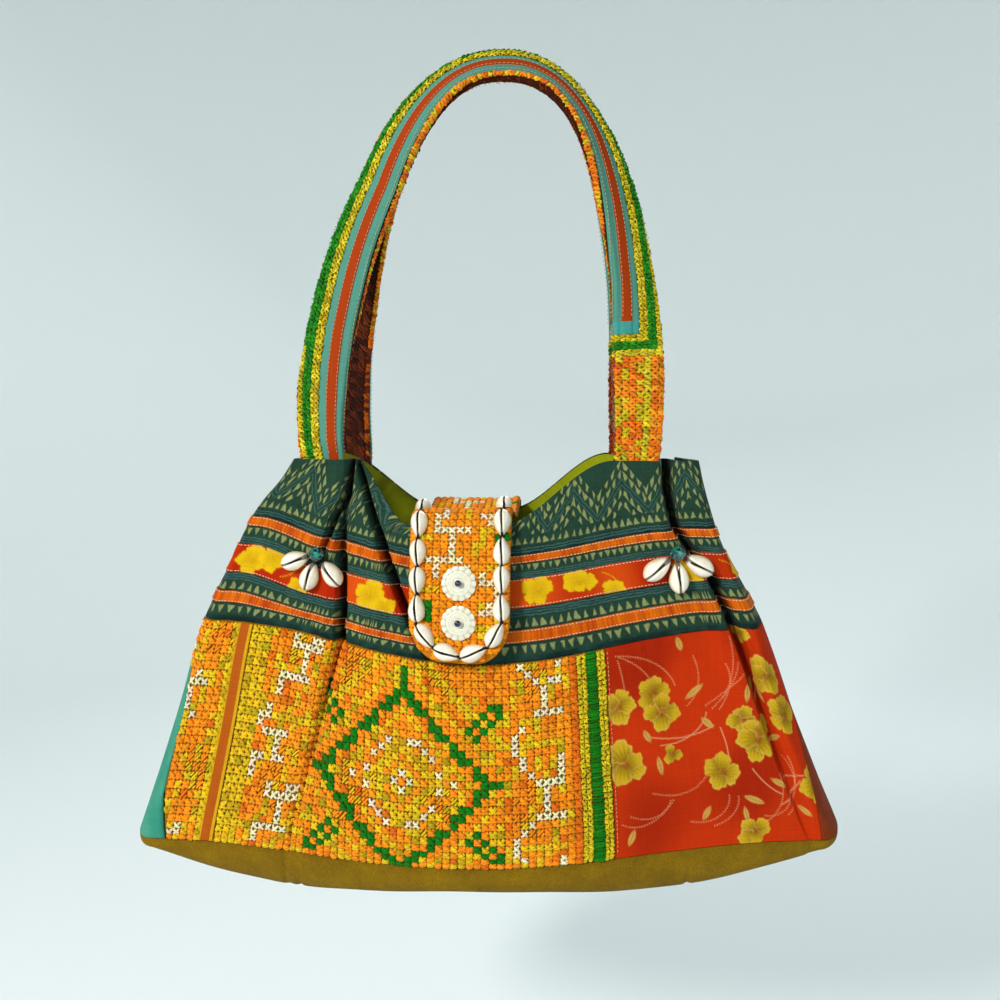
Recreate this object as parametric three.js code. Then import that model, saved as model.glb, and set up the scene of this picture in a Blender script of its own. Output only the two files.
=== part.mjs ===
// Patchwork tote bag: sewn cloth walls, two padded handles, and a flap edged with cowrie shells.
// Millimetres, +Z up, front towards -Y. The origin is under the handles' top, where a hook carries the bag.
import * as THREE from "three";

const { clamp, lerp, smoothstep, degToRad } = THREE.MathUtils;

// Cloth thicknesses and the clearance that sewn pieces keep
const wallCloth = 2.0;
const ribbonCloth = 0.8;
const seamGap = 0.3;
const liningGap = 1.0;

// Levels down the wall, counted in rows of the section table
const mouthLevel = 0;
const hemLevel = 2; // yoke above, panels below
const baseLevel = 4;
const levelGap = 0.0025; // half of a seam's gap, in levels

// Cross sections from the mouth to the base seam. shift moves one sideways, rise lifts its ends and tilt
// turns it, backSag lowers the middle of the back, sideDepth and depth are the wall's distances from the
// centre plane at its ends and middle, bulge rounds the sides out and tuck folds their middles in.
const sections = [
  {
    name: "mouth", height: -260, shift: 8, rise: 38, tilt: 0, backSag: 0,
    halfWidth: 116, depth: 46, sideDepth: 43, bulge: 12, tuck: 16,
  },
  {
    name: "ribbon top", height: -278, shift: 1, rise: 17, tilt: 0, backSag: 4,
    halfWidth: 133, depth: 51, sideDepth: 41, bulge: 12, tuck: 9,
  },
  {
    name: "hem", height: -339, shift: 0, rise: 19, tilt: 0, backSag: 0,
    halfWidth: 160, depth: 58, sideDepth: 39, bulge: 13, tuck: 2,
  },
  {
    name: "panel middle", height: -400, shift: 0, rise: 13, tilt: 3, backSag: 0,
    halfWidth: 182, depth: 63, sideDepth: 39, bulge: 14, tuck: 0,
  },
  {
    name: "base seam", height: -460, shift: 0, rise: 7, tilt: 7, backSag: 0,
    halfWidth: 205, depth: 63, sideDepth: 40, bulge: 17, tuck: 0,
  },
];

// The mouth is level under the handles and sags between them: s where the sag starts and where it is full
const mouthSag = { leftStart: -0.69, leftFull: -0.4, rightFull: 0.05, rightStart: 0.62 };

// Folds pressed into the front wall: where each runs across it (s) and how deep it is at three levels,
// with its half width in millimetres
const folds = [
  { name: "left pleat", sMouth: -0.68, sHem: -0.535, sBase: -0.57, mouth: 11, hem: 10, base: 2, reach: 8 },
  { name: "flap fold", sMouth: -0.5, sHem: -0.2, sBase: -0.2, mouth: 4, hem: 2, base: 0, reach: 11 },
  { name: "right pleat", sMouth: 0.95, sHem: 0.94, sBase: 0.95, mouth: 12, hem: 11, base: 3, reach: 7 },
];

const panelSeam = { sHem: 0.475, sBase: 0.405 }; // between the two front panels
const wrapEnd = 1.497; // s where a front wall stops, just short of the side seam

// Gussets widen from a tip at the hem, by s from the side seam
const gussets = {
  left: { tip: 0.03, reach: 0.55, quickness: 0.35 },
  right: { tip: 0.03, reach: 0.5, quickness: 1 },
};

// Ribbons on the yoke, by level
const ribbons = [
  { name: "ribbon_upper", top: 1.0, bottom: 1.1, slot: "orange" },
  { name: "ribbon_floral", top: 1.267, bottom: 1.53, slot: "flowered" },
  { name: "ribbon_lower", top: 1.716, bottom: 1.826, slot: "orange" },
];

const base = {
  drop: 37,
  endDrop: 10,
  middleLift: 13,
  squareness: 0.4,
  roundSteps: 7,
  lastStation: 1.46,
  gap: 0.5,
};

const lining = { cloth: 1, slack: 5, lastStation: 1.42, halfFold: 0.5 };

const handle = {
  halfSpan: 90,
  shift: 3.5,
  apexShift: 12,
  footGap: 1.2,
  width: 31,
  footWidth: 27.5,
  thickness: 6,
  endThickness: 2.6,
  apexHeight: 9.6,
  squareness: 2.25, // exponent of the arch
  leftBow: 6, // the left side swings out by this, most at a third of its height
  bowTop: 0.7, // share of the height where that ends
  apexDepth: 4.9, // the two straps lie against each other where they hang
  apexRoll: 45, // degrees that both straps lean back on the hook
  footBlend: 40, // height over which the foot takes the slant of the mouth
  steps: 34,
};

const flap = {
  middle: -7,
  width: 58,
  thickness: 3,
  endShare: 0.36, // width of the flat tip
  endRound: 24, // height of the round corners
  backLevel: 0.9,
  tipLevel: 1.97,
  lift: 2.5, // clear of the front wall at the mouth
  tipLift: 6.5,
  crest: 4.4, // above the back edge of the mouth
  frontCrest: 6.5,
  sag: 0, // into the mouth
  columns: 6,
  rows: 30,
};

const cowrie = { length: 15.5, width: 10.4, height: 7 };
const flapShells = { count: 14, inset: 5, topShare: 0.53, roundShare: 0.86 };
const disc = { radius: 10, thickness: 2.4, edge: 1.4, bead: 1.9 };
const discs = [
  { name: "upper", height: -291 },
  { name: "lower", height: -313 },
];
const clusterBead = 4;
const clusterReach = 14.5;
const clusters = [
  { name: "left", x: -93, level: 1.24, fan: [-72, -20, 34] },
  { name: "right", x: 117, level: 1.24, fan: [-50, 5, 60] },
];

const front = -1;
const back = 1;

// Colour, roughness and metalness of each material
const finish = {
  batik: [0x16343a, 0.85],
  orange: [0xc8401c, 0.7],
  flowered: [0xb02a18, 0.75],
  embroidery: [0xc9752a, 0.85],
  floral: [0xb8341c, 0.85],
  turquoise: [0x1f8f8a, 0.85],
  brick: [0x8c3f26, 0.85],
  canvas: [0x5c4a1c, 0.95],
  lime: [0x9a9a20, 0.85],
  strap: [0xb8642a, 0.85],
  shell: [0xe8dcc4, 0.3],
  disc: [0xe6e2d6, 0.45],
  teal: [0x0c3c40, 0.15],
  blue: [0x101c3c, 0.15],
};

const bag = new THREE.Group();
bag.name = "tote_bag";

function addMesh(name, geometry, slot) {
  const [color, roughness] = finish[slot];
  const mesh = new THREE.Mesh(geometry, new THREE.MeshStandardMaterial({ color, roughness, metalness: 0 }));
  mesh.name = name;
  bag.add(mesh);
  return mesh;
}

// Closed body through rings of points. Each ring runs along one side of the piece and back along the other,
// so a strip from its first half to its second closes each end, and both sides split their quads alike.
function loft(rings) {
  const size = rings[0].length;
  const faces = [];
  for (let i = 0; i + 1 < rings.length; i += 1) {
    for (let j = 0; j < size; j += 1) {
      const next = (j + 1) % size;
      const a = i * size + j;
      const b = i * size + next;
      if (j < size / 2) faces.push(a, b, a + size, b, b + size, a + size);
      else faces.push(a, b, b + size, a, b + size, a + size);
    }
  }
  const last = (rings.length - 1) * size;
  for (let j = 0; j + 1 < size / 2; j += 1) {
    const twin = size - 1 - j;
    faces.push(j, twin, j + 1, twin, twin - 1, j + 1);
    faces.push(last + j, last + j + 1, last + twin, last + j + 1, last + twin - 1, last + twin);
  }
  const geometry = new THREE.BufferGeometry().setFromPoints(rings.flat());
  geometry.setIndex(signedVolume(rings.flat(), faces) > 0 ? faces : faces.reverse());
  geometry.computeVertexNormals();
  return geometry;
}

function signedVolume(points, faces) {
  let volume = 0;
  for (let i = 0; i < faces.length; i += 3) {
    const [a, b, c] = [points[faces[i]], points[faces[i + 1]], points[faces[i + 2]]];
    volume += new THREE.Vector3().crossVectors(b, c).dot(a) / 6;
  }
  return volume;
}

// One column of the section table at a level, smooth through the rows
function column(name, level) {
  const last = sections.length - 1;
  const row = clamp(Math.floor(level), 0, last - 1);
  const [before, from, to, after] = [-1, 0, 1, 2].map((step) => sections[clamp(row + step, 0, last)][name]);
  const t = level - row;
  const startSlope = (to - before) / 2;
  const endSlope = (after - from) / 2;
  const bend = 2 * (from - to) + startSlope + endSlope;
  return ((bend * t + to - from - startSlope - bend) * t + startSlope) * t + from;
}

// Share of a section's rise that is missing at s: all of it where the section hangs lowest
function hangAt(s, level) {
  const round = Math.cos((s * Math.PI) / 2) ** 2;
  const left = smoothstep(s, mouthSag.leftStart, mouthSag.leftFull);
  const right = 1 - smoothstep(s, mouthSag.rightFull, mouthSag.rightStart);
  return lerp(left * right, round, clamp(level, 0, 1));
}

// Unfolded wall. s goes from -1 to 1 across it, and on to 1.5 at the middle of the bag's side.
function smoothWall(side, s, level) {
  const flat = clamp(s, -1, 1);
  const turn = (Math.abs(s) - Math.abs(flat)) * Math.PI;
  const crown = Math.cos((flat * Math.PI) / 2) ** 2;
  const round = column("bulge", level) * Math.sin(turn) - column("tuck", level) * Math.sin(turn) ** 4;
  const depth = lerp(column("sideDepth", level), column("depth", level), crown) * Math.cos(turn);
  const sag = side === back ? column("backSag", level) * crown : 0;
  const lifted = column("rise", level) * (1 - hangAt(flat, level)) + column("tilt", level) * flat;
  return new THREE.Vector3(
    column("shift", level) + column("halfWidth", level) * flat + Math.sign(s) * round,
    side * depth,
    column("height", level) + lifted - sag,
  );
}

// s of the wall at an x
function acrossAt(x, level) {
  return (x - column("shift", level)) / column("halfWidth", level);
}

function wallNormal(side, s, level) {
  const step = 0.01;
  const along = smoothWall(side, s + step, level).sub(smoothWall(side, s - step, level));
  const down = smoothWall(side, s, level + step).sub(smoothWall(side, s, level - step));
  return down.cross(along).multiplyScalar(-side).normalize();
}

// Value at a level between three given at the mouth, the hem and the base
function between(level, atMouth, atHem, atBase) {
  return level < hemLevel
    ? lerp(atMouth, atHem, level / hemLevel)
    : lerp(atHem, atBase, (level - hemLevel) / (baseLevel - hemLevel));
}

const foldLine = (fold, level) => between(level, fold.sMouth, fold.sHem, fold.sBase);
const seamLine = (level) => between(level, panelSeam.sHem, panelSeam.sHem, panelSeam.sBase);

function foldDepth(s, level) {
  let depth = 0;
  for (const fold of folds) {
    const away = Math.abs(s - foldLine(fold, level)) * column("halfWidth", level) / fold.reach;
    const deepest = between(level, fold.mouth, fold.hem, fold.base);
    depth += away < 1 ? (deepest * (1 + Math.cos(Math.PI * away))) / 2 : 0;
  }
  return depth;
}

// Point on the wall, out from its outer face by offset
function wallPoint(side, s, level, offset = 0) {
  const inward = side === front ? foldDepth(s, level) : 0;
  return smoothWall(side, s, level).addScaledVector(wallNormal(side, s, level), offset - inward);
}

// Stations across a wall: evenly between guides, which keep a point on each fold's bottom and shoulders
function stations(guides) {
  const list = [guides[0].s];
  for (let i = 1; i < guides.length; i += 1) {
    for (let k = 1; k <= guides[i].steps; k += 1) {
      list.push(lerp(guides[i - 1].s, guides[i].s, k / guides[i].steps));
    }
  }
  return list;
}

function foldGuides(fold, level, steps) {
  const s = foldLine(fold, level);
  const shoulder = fold.reach / column("halfWidth", level);
  return [
    { s: s - shoulder, steps },
    { s, steps: 1 },
    { s: s + shoulder, steps: 1 },
  ];
}

const [leftPleat, flapFold, rightPleat] = folds;

function frontGuides(level, left = wrapEnd, right = wrapEnd) {
  return [
    { s: -left },
    ...foldGuides(leftPleat, level, 6),
    ...foldGuides(flapFold, level, 1),
    { s: seamLine(level), steps: 3 },
    ...foldGuides(rightPleat, level, 3),
    { s: right, steps: 4 },
  ];
}

function backGuides(level, left = wrapEnd, right = wrapEnd) {
  return [{ s: -left }, { s: -0.9, steps: 5 }, { s: 0.9, steps: 18 }, { s: right, steps: 5 }];
}

// Cloth between levels: stationsAt gives the same number of s values at every level
function clothRings(side, levels, stationsAt, outer, inner) {
  const columns = levels.map((level) => stationsAt(level));
  return columns[0].map((_, i) => {
    const face = levels.map((level, row) => wallPoint(side, columns[row][i], level, outer));
    const rear = levels.map((level, row) => wallPoint(side, columns[row][i], level, inner));
    return [...face, ...rear.reverse()];
  });
}

const yokeLevels = [
  mouthLevel,
  0.4,
  0.75,
  ...ribbons.flatMap((ribbon) => [ribbon.top, ribbon.bottom]),
  hemLevel - levelGap,
];
const panelLevels = [hemLevel + levelGap, 2.5, 3, 3.5, baseLevel - levelGap];

function gussetEdge(gusset, level) {
  const share = (level - hemLevel) / (baseLevel - hemLevel);
  return 1.5 - lerp(gusset.tip, gusset.reach, share ** gusset.quickness);
}

const sideGap = (level) => seamGap / 2 / column("sideDepth", level);

function addYoke() {
  for (const [side, name, guides] of [[front, "front", frontGuides], [back, "back", backGuides]]) {
    const across = (level) => stations(guides(level));
    addMesh(`yoke_${name}`, loft(clothRings(side, yokeLevels, across, 0, -wallCloth)), "batik");
    for (const ribbon of ribbons) {
      const levels = [ribbon.top, ribbon.bottom];
      const rings = clothRings(side, levels, across, seamGap + ribbonCloth, seamGap);
      addMesh(`${ribbon.name}_${name}`, loft(rings), ribbon.slot);
    }
  }
}

function addPanels() {
  const seamHalf = (level) => seamGap / 2 / column("halfWidth", level);
  const panelEnd = (gusset, level) => gussetEdge(gusset, level) - sideGap(level);
  const panelEnds = (level) => [panelEnd(gussets.left, level), panelEnd(gussets.right, level)];
  const split = (level, keep) => {
    const guides = frontGuides(level, ...panelEnds(level));
    const seam = guides.find((guide) => guide.s === seamLine(level));
    const part = keep < 0 ? guides.slice(0, guides.indexOf(seam) + 1) : guides.slice(guides.indexOf(seam));
    seam.s += keep * seamHalf(level);
    return part;
  };
  const left = (level) => stations(split(level, -1));
  const right = (level) => stations(split(level, 1));
  const rear = (level) => stations(backGuides(level, ...panelEnds(level)));
  addMesh("embroidered_panel", loft(clothRings(front, panelLevels, left, 0, -wallCloth)), "embroidery");
  addMesh("floral_panel", loft(clothRings(front, panelLevels, right, 0, -wallCloth)), "floral");
  addMesh("back_panel", loft(clothRings(back, panelLevels, rear, 0, -wallCloth)), "turquoise");
}

function addGussets() {
  const halfSteps = 5;
  for (const [sign, hand, slot] of [[-1, "left", "turquoise"], [1, "right", "brick"]]) {
    const rings = [];
    for (let i = -halfSteps; i <= halfSteps; i += 1) {
      const side = i < 0 ? front : back;
      const at = (level, offset) => {
        const edge = gussetEdge(gussets[hand], level) + sideGap(level);
        return wallPoint(side, sign * lerp(1.5, edge, Math.abs(i) / halfSteps), level, offset);
      };
      const face = panelLevels.map((level) => at(level, 0));
      const rear = panelLevels.map((level) => at(level, -wallCloth));
      rings.push([...face, ...rear.reverse()]);
    }
    addMesh(`gusset_${hand}`, loft(rings), slot);
  }
}

// The base's section at s, from the front seam under to the back seam, drawn in by inset
function baseSection(s, inset) {
  const seam = wallPoint(front, s, baseLevel);
  const rear = wallPoint(back, s, baseLevel);
  const middle = (seam.y + rear.y) / 2;
  const halfDepth = Math.max((rear.y - seam.y) / 2 - inset, 0.4);
  const flat = Math.min(Math.abs(s), 1);
  const crown = Math.cos((flat * Math.PI) / 2) ** 2;
  const drop = lerp(base.drop, base.endDrop, flat ** 4) - base.middleLift * crown ** 2 - inset;
  const points = [];
  for (let i = 0; i <= base.roundSteps; i += 1) {
    const angle = (Math.PI * i) / base.roundSteps;
    const sag = drop * Math.sin(angle) ** base.squareness;
    points.push(new THREE.Vector3(seam.x, middle - halfDepth * Math.cos(angle), seam.z - base.gap - sag));
  }
  return points;
}

function addBase() {
  const rings = stations(frontGuides(baseLevel, base.lastStation)).map((s) => {
    return [...baseSection(s, 0), ...baseSection(s, wallCloth).reverse()];
  });
  addMesh("base", loft(rings), "canvas");
}

// The lining follows the yoke's stations, then hangs looser inside the panels and over the base
function addLining() {
  const levels = [0.02, 0.4, 0.75, 1, 1.267, 1.53, hemLevel, 2.7, 3.4, 3.95];
  const inset = (level) => wallCloth + liningGap + lining.slack * smoothstep(level, 1.8, 2.5);
  const frontAt = levels.map((level) => stations(frontGuides(level, lining.lastStation)));
  const backAt = levels.map((level) => stations(backGuides(level, lining.lastStation)));
  const drape = (side, i, thickness) => levels.map((level, row) => {
    const s = (side === front ? frontAt : backAt)[row][i];
    const point = wallPoint(side, s, level, -inset(level) - thickness);
    point.y = side * Math.max(side * point.y, lining.halfFold);
    return point;
  });
  const rings = frontAt[0].map((_, i) => {
    const lap = (thickness) => {
      const under = baseSection(frontAt[levels.length - 1][i], inset(baseLevel) + thickness);
      return [...drape(front, i, thickness), ...under.slice(1, -1), ...drape(back, i, thickness).reverse()];
    };
    return [...lap(0), ...lap(lining.cloth).reverse()];
  });
  addMesh("lining", loft(rings), "lime");
}

// Height of the yoke's top edge above a point
function mouthHeight(x) {
  return smoothWall(front, clamp(acrossAt(x, mouthLevel), -1, 1), mouthLevel).z;
}

// Middle of the strap at share 0 to 1 of its arch, with its outward and face directions
function handleFrame(side, share) {
  const angle = Math.PI * (1 - share);
  const power = 2 / handle.squareness;
  const foot = mouthHeight(handle.shift + handle.halfSpan) + handle.footGap;
  const footAcross = acrossAt(handle.shift + handle.halfSpan, mouthLevel);
  const footDepth = wallPoint(back, footAcross, mouthLevel, -wallCloth / 2).y;
  const at = (a) => {
    const rise = Math.sin(a) ** power;
    const reach = Math.sign(Math.cos(a)) * Math.abs(Math.cos(a)) ** power;
    const y = side * lerp(footDepth, handle.apexDepth, 1 - (1 - rise) ** 1.5);
    const bow = a > Math.PI / 2 ? handle.leftBow * Math.sin(Math.PI * Math.min(rise / handle.bowTop, 1)) : 0;
    const x = lerp(handle.shift, handle.apexShift, rise) + handle.halfSpan * reach - bow;
    return new THREE.Vector3(x, y, lerp(foot, handle.apexHeight, rise));
  };
  const middle = at(angle);
  const step = 0.004;
  const tangent = at(Math.max(angle - step, 0)).sub(at(Math.min(angle + step, Math.PI))).normalize();
  const lean = -side * degToRad(handle.apexRoll) * Math.sin(angle) ** 2;
  const level = new THREE.Vector3(0, side, 0);
  const outward = new THREE.Vector3().crossVectors(tangent, new THREE.Vector3(0, 1, 0)).normalize();
  outward.multiplyScalar(Math.sign(outward.dot(middle.clone().setZ(middle.z - foot))) || 1);
  const width = outward.clone().multiplyScalar(Math.cos(lean)).addScaledVector(level, -Math.sin(lean));
  const face = level.clone().multiplyScalar(Math.cos(lean)).addScaledVector(outward, Math.sin(lean));
  return { middle, width, face, foot };
}

function addHandle(side, name) {
  const section = [[-1, 0.45], [-0.82, 1], [0, 1.1], [0.82, 1], [1, 0.45]];
  const ring = [...section, ...section.map(([across, thick]) => [across, -thick]).reverse()];
  const rings = [];
  for (let i = 0; i <= handle.steps; i += 1) {
    const share = i / handle.steps;
    const even = 0.5 - Math.cos(Math.PI * share) / 2;
    const { middle, width, face, foot } = handleFrame(side, lerp(share, even, 0.35));
    const above = clamp((middle.z - foot) / handle.footBlend, 0, 1);
    const halfThickness = lerp(handle.endThickness, handle.thickness, Math.sqrt(above)) / 2;
    const halfWidth = lerp(handle.footWidth, handle.width, above) / 2;
    rings.push(ring.map(([across, thick]) => {
      const point = middle.clone().addScaledVector(width, across * halfWidth);
      point.addScaledVector(face, (thick * halfThickness) / 1.1);
      point.z += (1 - above) * (mouthHeight(point.x) + handle.footGap - foot);
      return point;
    }));
  }
  addMesh(name, loft(rings), "strap");
}

// The flap's middle surface: x across it, and share 0 at the seam on the back yoke to 1 at the tip
function flapPath(x) {
  const onWall = (side, level, offset) => {
    const s = acrossAt(x, level);
    return smoothWall(side, s, level).addScaledVector(wallNormal(side, s, level), offset);
  };
  const sewn = 2 * seamGap + flap.thickness / 2;
  const lifted = (level) => sewn + lerp(flap.lift, flap.tipLift, level / flap.tipLevel);
  const points = [
    onWall(back, flap.backLevel, sewn),
    onWall(back, 0.5, sewn),
    onWall(back, 0.05, sewn + 0.4),
  ];
  const depth = column("depth", mouthLevel) - wallCloth / 2;
  const edge = (side) => smoothWall(side, acrossAt(x, mouthLevel), mouthLevel).z;
  points.push(new THREE.Vector3(x, depth, edge(back) + flap.crest));
  points.push(new THREE.Vector3(x, 0, edge(back) - flap.sag));
  points.push(new THREE.Vector3(x, -depth, edge(front) + flap.frontCrest));
  for (const level of [0.18, 0.7, 1.3, flap.tipLevel]) {
    points.push(onWall(front, level, lifted(level)));
  }
  points.forEach((point) => point.setX(x));
  return new THREE.CatmullRomCurve3(points, false, "centripetal");
}

const flapLength = flapPath(flap.middle).getLength();

function flapHalfWidth(share) {
  const fromTip = ((1 - share) * flapLength) / flap.endRound;
  const round = fromTip < 1 ? Math.sqrt(1 - (1 - fromTip) ** 2) : 1;
  return (flap.width / 2) * lerp(flap.endShare, 1, round);
}

function flapPoint(across, share) {
  const x = flap.middle + across * flapHalfWidth(share);
  return flapPath(x).getPointAt(clamp(share, 0, 1));
}

function flapNormal(across, share) {
  const step = 0.006;
  const along = flapPoint(across, Math.min(share + step, 1)).sub(flapPoint(across, share - step));
  const over = flapPoint(across + 0.02, share).sub(flapPoint(across - 0.02, share));
  return along.cross(over).normalize();
}

function addFlap() {
  const rings = [];
  for (let i = 0; i <= flap.rows; i += 1) {
    const share = i / flap.rows;
    const top = [];
    const under = [];
    for (let j = 0; j <= flap.columns; j += 1) {
      const across = (2 * j) / flap.columns - 1;
      const normal = flapNormal(across, clamp(share, 0.01, 0.99));
      const middle = flapPoint(across, share);
      top.push(middle.clone().addScaledVector(normal, flap.thickness / 2));
      under.push(middle.clone().addScaledVector(normal, -flap.thickness / 2));
    }
    rings.push([...top, ...under.reverse()]);
  }
  addMesh("flap", loft(rings), "embroidery");
}

// Cowrie with its flat back on z = 0 and its narrow end towards +X
function cowrieGeometry() {
  const geometry = new THREE.SphereGeometry(1, 10, 6).rotateZ(Math.PI / 2);
  const points = geometry.attributes.position;
  const cut = -0.3;
  for (let i = 0; i < points.count; i += 1) {
    const taper = 1 - 0.16 * points.getX(i);
    const height = (Math.max(points.getZ(i), cut) - cut) / (1 - cut);
    points.setXYZ(
      i,
      (points.getX(i) * cowrie.length) / 2,
      (points.getY(i) * taper * cowrie.width) / 2,
      height * cowrie.height,
    );
  }
  geometry.computeVertexNormals();
  return geometry;
}

// Stands a piece on a surface: its X along the tangent, its Z along the normal
function seat(mesh, point, tangent, normal) {
  const z = normal.clone().normalize();
  const x = tangent.clone().addScaledVector(z, -tangent.dot(z)).normalize();
  const y = new THREE.Vector3().crossVectors(z, x);
  mesh.quaternion.setFromRotationMatrix(new THREE.Matrix4().makeBasis(x, y, z));
  mesh.position.copy(point);
}

// How far surface points rise above the plane through a point
function highest(points, point, normal) {
  return Math.max(0, ...points.map((other) => other.clone().sub(point).dot(normal)));
}

// The line of shells: down the flap's left edge, round its tip and up its right edge
function shellLine(t) {
  const angle = Math.PI * clamp((t - 0.36) / 0.28, 0, 1);
  const down = t < 0.36 ? t / 0.36 : t > 0.64 ? (1 - t) / 0.36 : 1;
  const share = lerp(flapShells.topShare, flapShells.roundShare, down);
  const tip = 1 - flapShells.inset / flapLength;
  const inset = flapShells.inset / (flap.width / 2);
  return { across: -(1 - inset) * Math.cos(angle), share: lerp(share, tip, Math.sin(angle)) };
}

function shellPoint(t) {
  const { across, share } = shellLine(t);
  const x = flap.middle + (across * flap.width) / 2;
  return flapPath(x).getPointAt(share);
}

function addFlapShells() {
  const fine = 400;
  const run = [0];
  for (let i = 1; i <= fine; i += 1) {
    run.push(run[i - 1] + shellPoint(i / fine).distanceTo(shellPoint((i - 1) / fine)));
  }
  for (let k = 0; k < flapShells.count; k += 1) {
    const goal = (run[fine] * k) / (flapShells.count - 1);
    const t = run.findIndex((length) => length >= goal - 1e-6) / fine;
    const tangent = shellPoint(Math.min(t + 0.01, 1)).sub(shellPoint(Math.max(t - 0.01, 0))).normalize();
    const { across, share } = shellLine(t);
    const normal = flapNormal(across * 0.9, clamp(share, 0.02, 0.985));
    const side = new THREE.Vector3().crossVectors(normal, tangent);
    const middle = shellPoint(t).addScaledVector(normal, flap.thickness / 2);
    const footprint = [];
    for (let corner = 0; corner < 8; corner += 1) {
      const turn = (corner * Math.PI) / 4;
      const near = middle.clone().addScaledVector(tangent, (Math.cos(turn) * cowrie.length) / 2)
        .addScaledVector(side, (Math.sin(turn) * cowrie.width) / 2);
      footprint.push(flapSurfaceNear(near, share));
    }
    middle.addScaledVector(normal, highest(footprint, middle, normal) + seamGap);
    const mesh = addMesh(`flap_cowrie_${String(k + 1).padStart(2, "0")}`, cowrieGeometry(), "shell");
    seat(mesh, middle, tangent, normal);
  }
}

// Point of the flap's face nearest to a point, looked for around a share
function flapSurfaceNear(point, share) {
  const path = flapPath(clamp(point.x, flap.middle - flap.width / 2, flap.middle + flap.width / 2));
  let best = null;
  for (let i = -12; i <= 12; i += 1) {
    const at = clamp(share + i * 0.006, 0, 1);
    const spot = path.getPointAt(at);
    const tangent = path.getTangentAt(at);
    spot.addScaledVector(new THREE.Vector3(0, tangent.z, -tangent.y).normalize(), flap.thickness / 2);
    if (!best || spot.distanceTo(point) < best.distanceTo(point)) best = spot;
  }
  return best;
}

function addDiscs() {
  const outline = [
    new THREE.Vector2(0, 0),
    new THREE.Vector2(disc.radius, 0),
    new THREE.Vector2(disc.radius, disc.edge),
    new THREE.Vector2(disc.radius - 2, disc.thickness),
    new THREE.Vector2(0, disc.thickness),
  ];
  const path = flapPath(flap.middle);
  for (const { name, height } of discs) {
    let share = 0.5;
    while (path.getPointAt(share).z > height) share += 0.002;
    const normal = flapNormal(0, share);
    const middle = flapPoint(0, share).addScaledVector(normal, flap.thickness / 2 + seamGap);
    const up = new THREE.Vector3(1, 0, 0);
    const turned = new THREE.LatheGeometry(outline, 20).rotateX(Math.PI / 2);
    const plate = addMesh(`shell_disc_${name}`, turned, "disc");
    seat(plate, middle, up, normal);
    const bead = addMesh(`disc_bead_${name}`, new THREE.SphereGeometry(disc.bead, 10, 6), "blue");
    seat(bead, middle.clone().addScaledVector(normal, disc.thickness + seamGap + disc.bead), up, normal);
  }
}

// Furthest forward that the front wall comes within a radius
function frontmost(x, z, radius) {
  let y = 0;
  for (let level = 0; level <= hemLevel; level += 0.04) {
    for (let s = -1.2; s <= 1.2; s += 0.02) {
      const onRibbon = ribbons.some((ribbon) => level > ribbon.top - 0.03 && level < ribbon.bottom + 0.03);
      const point = wallPoint(front, s, level, onRibbon ? 2 * seamGap + ribbonCloth : seamGap);
      if (Math.hypot(point.x - x, point.z - z) < radius) y = Math.min(y, point.y);
    }
  }
  return y;
}

// Shells that fan out below a bead, with their narrow ends towards it
function addClusters() {
  const forward = new THREE.Vector3(0, -1, 0);
  for (const { name, x, level, fan } of clusters) {
    const { z } = smoothWall(front, acrossAt(x, level), level);
    const bead = addMesh(`cluster_${name}_bead`, new THREE.SphereGeometry(clusterBead, 10, 8), "teal");
    bead.position.set(x, frontmost(x, z, clusterBead / 3) - clusterBead, z);
    fan.forEach((degrees, i) => {
      const angle = degToRad(degrees);
      const tangent = new THREE.Vector3(Math.sin(angle), 0, -Math.cos(angle));
      const point = new THREE.Vector3(x, 0, z).addScaledVector(tangent, clusterReach);
      point.y = frontmost(point.x, point.z, cowrie.length * 0.48);
      const mesh = addMesh(`cluster_${name}_cowrie_${i + 1}`, cowrieGeometry(), "shell");
      seat(mesh, point, tangent.negate(), forward);
    });
  }
}

addYoke();
addPanels();
addGussets();
addBase();
addLining();
addHandle(front, "handle_front");
addHandle(back, "handle_back");
addFlap();
addFlapShells();
addDiscs();
addClusters();

export default bag;
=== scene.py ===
# Patchwork tote bag: sewn cottons, cross-stitch, padded straps and a flap edged with cowries
import math
from functools import reduce

import bpy
import numpy as np
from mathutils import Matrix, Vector


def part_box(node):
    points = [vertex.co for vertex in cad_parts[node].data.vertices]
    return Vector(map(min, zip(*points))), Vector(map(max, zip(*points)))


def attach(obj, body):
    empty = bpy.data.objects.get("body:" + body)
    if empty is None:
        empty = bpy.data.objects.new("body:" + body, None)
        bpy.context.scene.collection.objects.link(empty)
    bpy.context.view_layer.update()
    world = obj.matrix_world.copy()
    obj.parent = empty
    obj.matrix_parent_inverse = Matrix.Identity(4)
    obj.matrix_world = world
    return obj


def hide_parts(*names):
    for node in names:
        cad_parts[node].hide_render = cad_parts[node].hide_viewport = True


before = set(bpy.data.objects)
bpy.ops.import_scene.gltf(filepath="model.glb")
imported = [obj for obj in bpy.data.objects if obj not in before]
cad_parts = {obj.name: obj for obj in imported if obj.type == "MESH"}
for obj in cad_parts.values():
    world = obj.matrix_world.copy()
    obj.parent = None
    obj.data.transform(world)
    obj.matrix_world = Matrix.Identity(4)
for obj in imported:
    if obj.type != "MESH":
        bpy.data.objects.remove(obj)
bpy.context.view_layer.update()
print("frame loaded,", len(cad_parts), "nodes")

mm = 0.001             # shapes are worked out in millimetres
front, back = -1, 1    # which wall, by the sign of Y
dice = np.random.default_rng(7)

# Camera, at the photograph's place
cameraSet = {"place": (57.9, -590.1, -187.5), "aim": (13.4, -25.0, -247.0), "lens": 34.2, "sensor": 36.0}


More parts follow.
